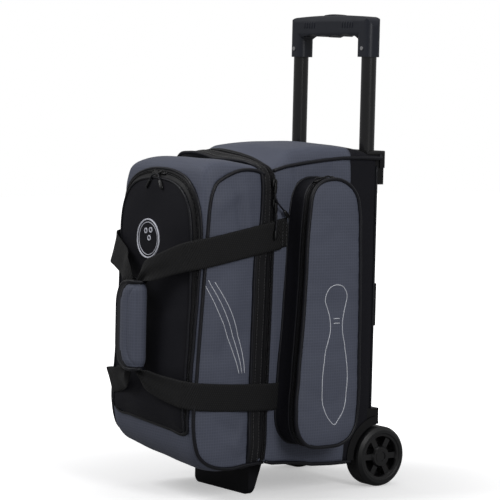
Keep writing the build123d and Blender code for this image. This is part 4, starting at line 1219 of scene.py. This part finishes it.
# ================================================================ accessory pockets
POCKET_LOOP = (
    (15, 93.5), (44, 93), (66, 94), (88, 105), (101, 124), (105, 150), (105.5, 250), (104.5, 350),
    (101.5, 450), (98.5, 500), (92, 526), (80, 541), (62, 550.5), (42, 554), (22, 552), (6, 544),
    (-3, 530), (-7.5, 505), (-11, 470), (-15, 369), (-19, 302), (-26, 210), (-29, 160),
    (-28, 135), (-19, 112), (-4, 98),
)
POCKET_FOLDS = (
    ((0, 10, 520), (0, 60, 500), 12, 1.2),
    ((0, 85, 480), (0, 70, 380), 14, -1.0),
    ((0, -5, 200), (0, 40, 150), 16, -1.5),
    ((0, 60, 120), (0, 90, 190), 12, 1.2),
)


def build_accessory_pocket(label, sign):
    """One side pocket: gusset, zip, hinged face panel, piping and slider."""
    flap = f"flap_{label}"
    loop = curve(POCKET_LOOP, count=200, closed=True)
    spine = np.column_stack([np.full(len(loop), 38.0), np.clip(loop[:, 1], 150, 490)])
    out = unit(loop - spine)
    face_x = POCKET_FACE_X - 3.5
    tape_x = POCKET_SPLIT_X - 9.0

    def ring(x, puff):
        wave = ripple(np.column_stack([np.full(len(loop), x), loop * 1.0]), 1.0, 40, 51 + sign)
        line = loop + out * (puff + wave * (0.9 if puff < 0 or puff > 0.3 else 0.1))[:, None]
        return np.column_stack([np.full(len(loop), sign * x), line])

    toward = (sign * 150, 38, 320)
    side = [ring(x, puff) for x, puff in (
        (SIDE + 0.5, 1.2), (SIDE + 5, 0.2), (SIDE + 14, -1.8), (SIDE + 24, -2.4),
        (tape_x - 5, -1.6), (tape_x, -0.2))]
    gusset = sheet(f"pocket_gusset_cloth_{label}", side, BLACK, "root", 2.2, LINING, toward, True)
    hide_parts(f"pocket_gusset_{label}")
    tape = [ring(x, puff) for x, puff in (
        (tape_x, 0.2), (tape_x + 3, 0.4), (POCKET_SPLIT_X - 1.4, -0.6))]
    tape_root = sheet(f"pocket_tape_root_{label}", tape, TAPE, "root", 1.2, TAPE, toward, True)
    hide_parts(f"pocket_zip_{label}")
    tape = [ring(x, puff) for x, puff in ((POCKET_SPLIT_X, -0.6), (POCKET_SPLIT_X + 4, 0.2),
                                          (POCKET_SPLIT_X + 7, 0.6), (face_x, 0.0))]
    tape_flap = sheet(f"pocket_tape_flap_{label}", tape, TAPE, flap, 1.2, TAPE, toward, True)
    tube(f"pocket_base_piping_{label}", ring(SIDE + 2, 1.6), 2.6, PIPING, "root", closed=True)
    tube(f"pocket_tape_piping_{label}", ring(tape_x, 0.6), 1.8, PIPING, "root", closed=True)
    tube(f"pocket_face_piping_{label}", ring(face_x, 0.8), PIPING_R, PIPING, flap, closed=True,
         sides=12)

    out3 = np.column_stack([np.zeros(len(loop)), out])
    along_x = np.tile((float(sign), 0, 0), (len(loop), 1))
    upper = np.arange(len(loop))
    keep = loop[:, 1] > 118
    first = int(np.argmax(~keep))
    upper = np.roll(upper, -first)
    upper = upper[keep[upper]]
    for name, body, x, start in (
        ("root", "root", POCKET_SPLIT_X - 1.7, 0.0),
        ("flap", flap, POCKET_SPLIT_X + 1.5, 0.5),
    ):
        path = ring(x, 0.1) + out3 * 0.9
        chain(f"pocket_coil_{name}_{label}", path[upper], along_x[upper], out3[upper], TEETH,
              body, *SMALL_COIL, start)

    rows = panel_grid(loop, 62, 26)
    inward = edge_distance(rows, loop)
    flat = np.dstack([np.zeros_like(inward), rows[:, :, 0], rows[:, :, 1]]).reshape(-1, 3)
    height = padded(flat, inward, (30, 4.0), (1.3, 75, 61 + sign), POCKET_FOLDS)
    grid = np.dstack([sign * (face_x - 0.5 + height), rows[:, :, 0], rows[:, :, 1]])
    face = sheet(f"pocket_face_{label}", grid, GREY, flap, 3, LINING, (0, 38, 320),
                 held=inward < 2.0)
    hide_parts(f"pocket_flap_{label}")

    top = ring(POCKET_SPLIT_X - 1, 0)[np.argmin(np.linalg.norm(loop - (12, 548), axis=1))]
    pull = slider(f"pocket_slider_piece_{label}", top + (0, 0, 3.0), (0, 1, 0.3), (0, -0.25, 1),
                  "root", top + (0, 24, 10), top + (sign * -6, 36, 8))
    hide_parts(f"pocket_slider_{label}")
    return face


def printed(name, hit, line, sign, radius, body, closed=False):
    """A thin printed line through (y, z) points on one side of the bag."""
    path = [(sign * CLEAR_OF_BAG, y, z) for y, z in line]
    path = laid_on(hit, path, (0, 0, 0), (-sign, 0, 0), 0.1)
    return tube(name, path, radius, PRINT, body, closed=closed, sides=6)


def build_motifs(lid, faces):
    """Generic thin printed lines: a pin on each pocket, three curves on each lid side."""
    for label, sign in SIDES:
        hit, flap = surface_of(faces[label]), f"flap_{label}"
        pin = ((-6, 128), (12, 150), (22, 205), (15, 262), (7, 300), (12, 330), (18, 348),
               (10, 368), (-4, 374))
        half = curve([(55 + u, v) for u, v in pin], step=3)
        other = curve([(55 - 12 - u, v) for u, v in pin], step=3)[::-1]
        outline = np.vstack([half[1:-1], other[1:-1]])
        line = curve(outline[::4], step=3, closed=True)
        parts = [printed(f"pin_{label}", hit, line, sign, 0.75, flap, True)]
        for z in (306, 314):
            line = [(y, z + 1.2 * math.sin((y - 40) / 6)) for y in np.linspace(43, 56, 8)]
            parts.append(printed(f"band_{z}_{label}", hit, line, sign, 0.75, flap))
        joined(f"pocket_motif_{label}", parts)
        hit = surface_of(lid[label])
        parts = []
        for n in range(3):
            shift = 13.0 * n
            points = [(-192 + shift, 388 - 4 * n), (-160 + shift, 330), (-128 + shift * 0.8, 262),
                      (-112 + shift * 0.5, 222)]
            line = curve(points, step=4)
            parts.append(printed(f"line_{n}_{label}", hit, line, sign, 0.7, "lid"))
        joined(f"lid_motif_{label}", parts)


# ================================================================ carry loops
# Right loop, upper then down through the wrap and back along the lower run:
# centre (x, y, z), direction across the webbing (x, y, z), width.
LOOP_UPPER = (
    (STRAP_X, -34.6, 457.5, 0, 0.0, 1, 50),
    (STRAP_X - 0.8, -80, 449, 0, 0.0, 1, 50),
    (STRAP_X - 0.8, -140, 438, 0, 0.0, 1, 50),
    (STRAP_X - 1.2, -186, 430, 0, 0.0, 1, 50),
    (STRAP_X - 4.5, -205, 427, 0, -0.02, 1, 50),
    (STRAP_X - 16, -217, 423, 0, -0.05, 1, 49),
    (88, -225, 415, -0.05, -0.1, 1, 46),
    (58, -233, 404, -0.25, -0.15, 1, 42),
    (34, -241, 394, -0.6, -0.15, 0.9, 38),
    (18, -245, 380, -0.95, -0.05, 0.5, 20),
    (10, -246, 358, -1, 0, 0.12, 21),
    (8, -246, 300, -1, 0, 0.0, 26),
)
LOOP_LOWER = (
    (8, -246, 300, -1, 0, 0.0, 26),
    (9, -246, 242, -1, 0, -0.12, 21),
    (18, -245, 222, -0.95, 0.05, -0.5, 20),
    (34, -241, 209, -0.6, 0.12, -0.9, 38),
    (58, -233, 200, -0.25, 0.1, -1, 42),
    (88, -225, 194, -0.05, 0.05, -1, 45),
    (STRAP_X - 16, -217, 190, 0, 0.02, -1, 47),
    (STRAP_X - 4.5, -205, 188, 0, 0, -1, 47),
    (STRAP_X - 1.2, -186, 186, 0, 0, -1, 47),
    (STRAP_X - 0.8, -140, 182, 0, 0, -1, 47),
    (STRAP_X - 0.8, -80, 179, 0, 0, -1, 47),
    (STRAP_X, -42.4, 178, 0, 0, -1, 47),
)


WEB_WIDTH = 47


def ribbon(name, stations, body, sign, thickness=2.4):
    """Flat webbing along stations of centre, across direction and width, thin at its edges."""
    line = curve(stations, step=4)
    centre, across, width = line[:, :3], line[:, 3:6], line[:, 6]
    t = tangents(centre)
    across = unit(across - t * np.sum(across * t, axis=1)[:, None])
    out = np.cross(across, t)
    section = []
    for face in (1, -1):
        for k in np.linspace(-face, face, 15):
            edge = 0.5 if abs(k) > 0.93 else 1.0
            section.append((k, face * thickness / 2 * edge))
    rows = []
    for c, a, o, w in zip(centre, across, out, width):
        squeeze = max(0.0, (WEB_WIDTH - w) / WEB_WIDTH)
        rows.append([c + a * k * w / 2 + o * (h + 6.4 * squeeze * math.sin(k * 4.7))
                     for k, h in section])
    n = len(section)
    faces = quads(len(rows), n)
    faces.append(list(range(n))[::-1])
    faces.append([(len(rows) - 1) * n + j for j in range(n)])
    points = np.array(rows).reshape(-1, 3) * (sign, 1, 1)
    obj = make(name, points, faces, WEB, body)
    tidy_mesh(obj)
    return obj


def build_loops():
    """Both webbing loops, their sewn tabs and the stitching on them."""
    turn = len(LOOP_UPPER) - 1
    for label, sign in SIDES:
        stations = [list(p) for p in LOOP_UPPER + LOOP_LOWER[1:]]
        if sign < 0:
            for p in stations:
                p[1] -= 4.2 * max(0.0, 1 - abs(p[0]) / 60)
            for p in stations[4:8]:
                p[1] += 3.5
                p[4] += 0.3
            for p in stations[15:19]:
                p[4] += 0.3
        body = f"loop_{label}"
        upper = ribbon(f"carry_loop_upper_{label}", stations[:turn + 1], body, sign)
        turned = [p[:3] + [-p[3], -p[4], -p[5]] + p[6:] for p in stations[turn:]]
        lower = ribbon(f"carry_loop_lower_{label}", turned, body, sign)
        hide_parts(f"carry_strap_{label}")
    for label, sign in SIDES:
        for name, z, rise, front, width in (("upper", 459, 1, -34, 50), ("lower", 178, 0, -42, 47)):
            stations = [
                (SIDE + 3.0, -14, z + 3 * rise, 0, 0, 1, width),
                (SIDE + 3.6, -22, z + 2 * rise, 0, 0, 1, width),
                (STRAP_X - 2.2, front, z, 0, 0, 1, width),
            ]
            tab = ribbon(f"strap_tab_{name}_{label}", stations, "root", sign)
            if name == "upper" and sign > 0:
                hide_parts("strap_tabs")
            for y in (-18.5, -26.5):
                heights = np.linspace(z - width / 2 + 4, z + width / 2 - 4, 12)
                path = [(sign * (SIDE + 5.2), y, h) for h in heights]
                dashes(f"tab_stitch_{name}_{label}_{round(-y)}", path,
                       np.tile((float(sign), 0, 0), (12, 1)), STITCH, "root")


def build_wrap():
    """The padded grip that gathers both loops, with bound edges and rounded flap corners."""
    low, high = WRAP_LOW[2] - 1, WRAP_HIGH[2] + 1
    front, back = WRAP_LOW[1] + 1.5, WRAP_HIGH[1] - 2.0
    left, right = WRAP_LOW[0] - 11, WRAP_HIGH[0] - 6
    mid = (front + back) / 2
    plan = [(left + 13, back), (left + 26, back), (right - 12, back), (right - 3, back - 3),
            (right + 1.5, mid), (right - 3, front + 3.5), (right - 14, front - 0.2),
            (0, front - 1.6), (left + 14, front - 0.6), (left - 1, front + 2.0)]
    line = curve(plan, step=2.2)
    length = np.append(0, np.cumsum(np.linalg.norm(np.diff(line, axis=0), axis=1)))
    total, corner = length[-1], 44.0
    rows, rises, reaches = [], [], []
    for z in np.linspace(low, high, 56):
        near = min(z - low, high - z)
        cut = corner - math.sqrt(corner**2 - max(corner - near, 0) ** 2)
        end = total - cut
        along = end * np.linspace(0, 1, 62)
        x, y = np.interp(along, length, line[:, 0]), np.interp(along, length, line[:, 1])
        rows.append(np.column_stack([x, y, np.full(62, z)]))
        rises.append(np.full(62, near))
        reaches.append(end - along)
    grid, from_end = np.array(rows), np.array(reaches)
    inward = np.minimum(np.array(rises), from_end - FLAP_BINDING + BINDING)
    _, normal = slack(grid, 0.01, 50, 3, (0, mid, 300))
    pad = dome(np.clip(inward - BINDING, 0, None), 12, 3.6)
    pad -= 1.6 * np.exp(-(((from_end - 42) / 2.6) ** 2)) * np.clip((inward - BINDING) / 12, 0, 1)
    pad += 0.9 * np.exp(-(((inward - BINDING / 2) / 3.0) ** 2))
    grid = grid + normal * pad[:, :, None]
    cover = sheet("carry_wrap_pad", grid, GREY, "loop_right", 4.5, PIPING, (0, mid, 300))
    edge = inward.ravel() < BINDING
    for polygon in cover.data.polygons:
        if sum(edge[v] for v in polygon.vertices) >= 3:
            polygon.material_index = 1
    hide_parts("carry_wrap")
    border = np.vstack([grid[0], grid[1:-1, -1], grid[-1, ::-1], grid[-2:0:-1, 0]])
    inside = np.vstack([normal[0], normal[1:-1, -1], normal[-1, ::-1], normal[-2:0:-1, 0]])
    path = curve(border - inside * 2.0, step=3, closed=True)
    tube("carry_wrap_binding", path, 2.9, PIPING, "loop_right", closed=True)


# ================================================================ foam inside
def soft_copy(node, name, body, material, voxel=5.0, swell=2.0):
    """A padded copy of a plain CAD solid: remeshed, swollen as cloth, and smoothed."""
    low, high = box_mm(node)
    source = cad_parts[node]
    mesh = source.data.copy()
    obj = bpy.data.objects.new(name, mesh)
    bpy.context.scene.collection.objects.link(obj)
    centre = Vector((low + high) / 2) * MM
    shrink = [1 - 2 * swell / max(b - a, 1.0) for a, b in zip(low, high)]
    for v in mesh.vertices:
        v.co = centre + Vector([(c - m) * s for c, m, s in zip(v.co, centre, shrink)])
    mesh.materials.clear()
    mesh.materials.append(material)
    bpy.ops.object.select_all(action="DESELECT")
    obj.select_set(True)
    bpy.context.view_layer.objects.active = obj
    remesh = obj.modifiers.new("remesh", "REMESH")
    remesh.mode = "VOXEL"
    remesh.voxel_size = voxel * MM
    bpy.ops.object.modifier_apply(modifier=remesh.name)
    blow_out(obj, lambda far: np.minimum(1, swell * 1.2 * MM / np.maximum(far, 1e-9))[:, None])
    smooth = obj.modifiers.new("smooth", "SMOOTH")
    smooth.factor = 0.6
    smooth.iterations = 4
    obj.data.polygons.foreach_set("use_smooth", [True] * len(obj.data.polygons))
    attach(obj, body)
    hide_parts(node)
    return obj


def build_foam():
    """The foam under and between the balls."""
    for node in ("foam_base", "foam_divider"):
        soft_copy(node, node + "_pad", "root", FOAM)


# ================================================================ main zip sliders
def build_main_sliders(seam):
    """The two sliders of the main zip, on the right side near the top."""
    right = seam[:, 0] > 60
    for body, node, z, pull, tail in (
        ("slider_upper", "zip_slider_upper", 546, (132, -48, 528), (132.5, -26, 496)),
        ("slider_lower", "zip_slider_lower", 512, (131.5, -45, 492), (133.5, -46.5, 462)),
    ):
        i = int(np.argmin(np.where(right, abs(seam[:, 2] - z), 1e9)))
        spot = seam[i] + (SIDE + 4.8 - seam[i][0], 0, 0)
        piece = slider(node + "_piece", spot, (0, 0.035, 1.0), (1, 0, 0), body, pull, tail)
        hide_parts(node)


# ================================================================ stage, light and camera
def build_stage():
    """A pale floor that runs on to the horizon."""
    size = 9000.0
    floor = make("floor", [(-size, -size, 0), (size, -size, 0), (size, size, 0), (-size, size, 0)],
                 [(0, 1, 2, 3)], stage_material())


def seen_by_camera(tree):
    """1 for what the camera sees directly, 0 for light that bounces."""
    return tree.nodes.new("ShaderNodeLightPath").outputs["Is Camera Ray"]


def stage_material():
    """White paper that the camera sees a little brighter than it lights the bag; a painted glow,
    seen only by the camera, grows away from the bag so the far floor stays white.
    """
    look = Look("floor_paper", linear(238, 238, 239), 0.95, Specular_IOR_Level=0.1)
    paper = look.tint(look.noise(3.0), 0.985, 1.0)
    look.paint(paper, look.shade(seen_by_camera(look.tree), 0.35, 1.0))
    away = look.node("ShaderNodeVectorMath", operation="LENGTH")
    look.feed(away.inputs[0], look.place)
    # painted light: camera-only glow, weak near the bag and full further out, evens out the lamps'
    # falloff on the floor
    glow = look.node("ShaderNodeMapRange", interpolation_type="SMOOTHSTEP")
    look.feed(glow.inputs["Value"], away.outputs["Value"])
    for key, value in (("From Min", 0.25), ("From Max", 1.0), ("To Min", 0.4), ("To Max", 1.0)):
        glow.inputs[key].default_value = value
    look.feed(look.shader.inputs["Emission Color"], (1, 1, 1, 1))
    look.feed(look.shader.inputs["Emission Strength"],
              look.math("MULTIPLY", seen_by_camera(look.tree), glow.outputs["Result"]))
    return look.material


def area_light(name, place, target, size, power, colour=(1, 1, 1)):
    """A soft rectangular lamp aimed at a point, in metres and watts."""
    data = bpy.data.lights.new(name, "AREA")
    data.shape = "RECTANGLE"
    data.size, data.size_y = size
    data.energy = power
    data.color = colour
    lamp = bpy.data.objects.new(name, data)
    lamp.location = place
    lamp.rotation_euler = (Vector(target) - Vector(place)).to_track_quat("-Z", "Y").to_euler()
    bpy.context.scene.collection.objects.link(lamp)


def build_light():
    """Plain soft studio light, strongest from the front left and above."""
    world = bpy.data.worlds.new("studio")
    bpy.context.scene.world = world
    world.use_nodes = True
    tree = world.node_tree
    sky = tree.nodes["Background"]
    sky.inputs["Color"].default_value = (1, 1, 1, 1)
    strength = tree.nodes.new("ShaderNodeMapRange")
    strength.inputs["To Min"].default_value = 0.36
    strength.inputs["To Max"].default_value = 1.0
    tree.links.new(seen_by_camera(tree), strength.inputs["Value"])
    tree.links.new(strength.outputs[0], sky.inputs["Strength"])
    centre = (0, 0, 0.4)
    area_light("key", (-1.0, -2.4, 2.9), centre, (1.6, 1.6), 50)
    area_light("side", (3.4, -0.3, 2.0), centre, (0.9, 1.6), 50)
    area_light("top", (0.0, 0.4, 3.0), centre, (1.6, 1.6), 7)
    bpy.context.scene.view_settings.view_transform = "Standard"


CAMERA_PLACE = (3.0659, -2.3211, 0.6966)
CAMERA_TURN = (52.872, 4.092, 1.324)
CAMERA_LENS = 156.4128


def build_camera():
    """The camera: three-quarter view from the front right, slightly above.

    Its place is in metres, its turn in degrees round, up and over, its lens in millimetres."""
    azimuth, elevation, roll = (math.radians(turn) for turn in CAMERA_TURN)
    place = Vector(CAMERA_PLACE)
    back = Vector((math.sin(azimuth) * math.cos(elevation),
                   -math.cos(azimuth) * math.cos(elevation), math.sin(elevation)))
    right = Vector((math.cos(azimuth), math.sin(azimuth), 0))
    up = back.cross(right)
    turned_right = math.cos(roll) * right + math.sin(roll) * up
    turned_up = -math.sin(roll) * right + math.cos(roll) * up
    data = bpy.data.cameras.new("camera")
    data.sensor_width = 36.0
    data.lens = CAMERA_LENS
    data.clip_end = 60
    camera = bpy.data.objects.new("camera", data)
    matrix = Matrix((turned_right, turned_up, back)).transposed().to_4x4()
    matrix.translation = place
    camera.matrix_world = matrix
    bpy.context.scene.collection.objects.link(camera)
    bpy.context.scene.camera = camera


# ================================================================ the whole bag
dress_cad_nodes()
lid = build_lid()
seam = build_zip()
front_face = build_front_pocket(lid["front"])
build_emblem(front_face)
build_main()
build_back()
build_bottom()
faces = {label: build_accessory_pocket(label, sign) for label, sign in SIDES}
build_motifs(lid, faces)
build_loops()
build_wrap()
build_foam()
build_main_sliders(seam)
build_stage()
build_light()
build_camera()
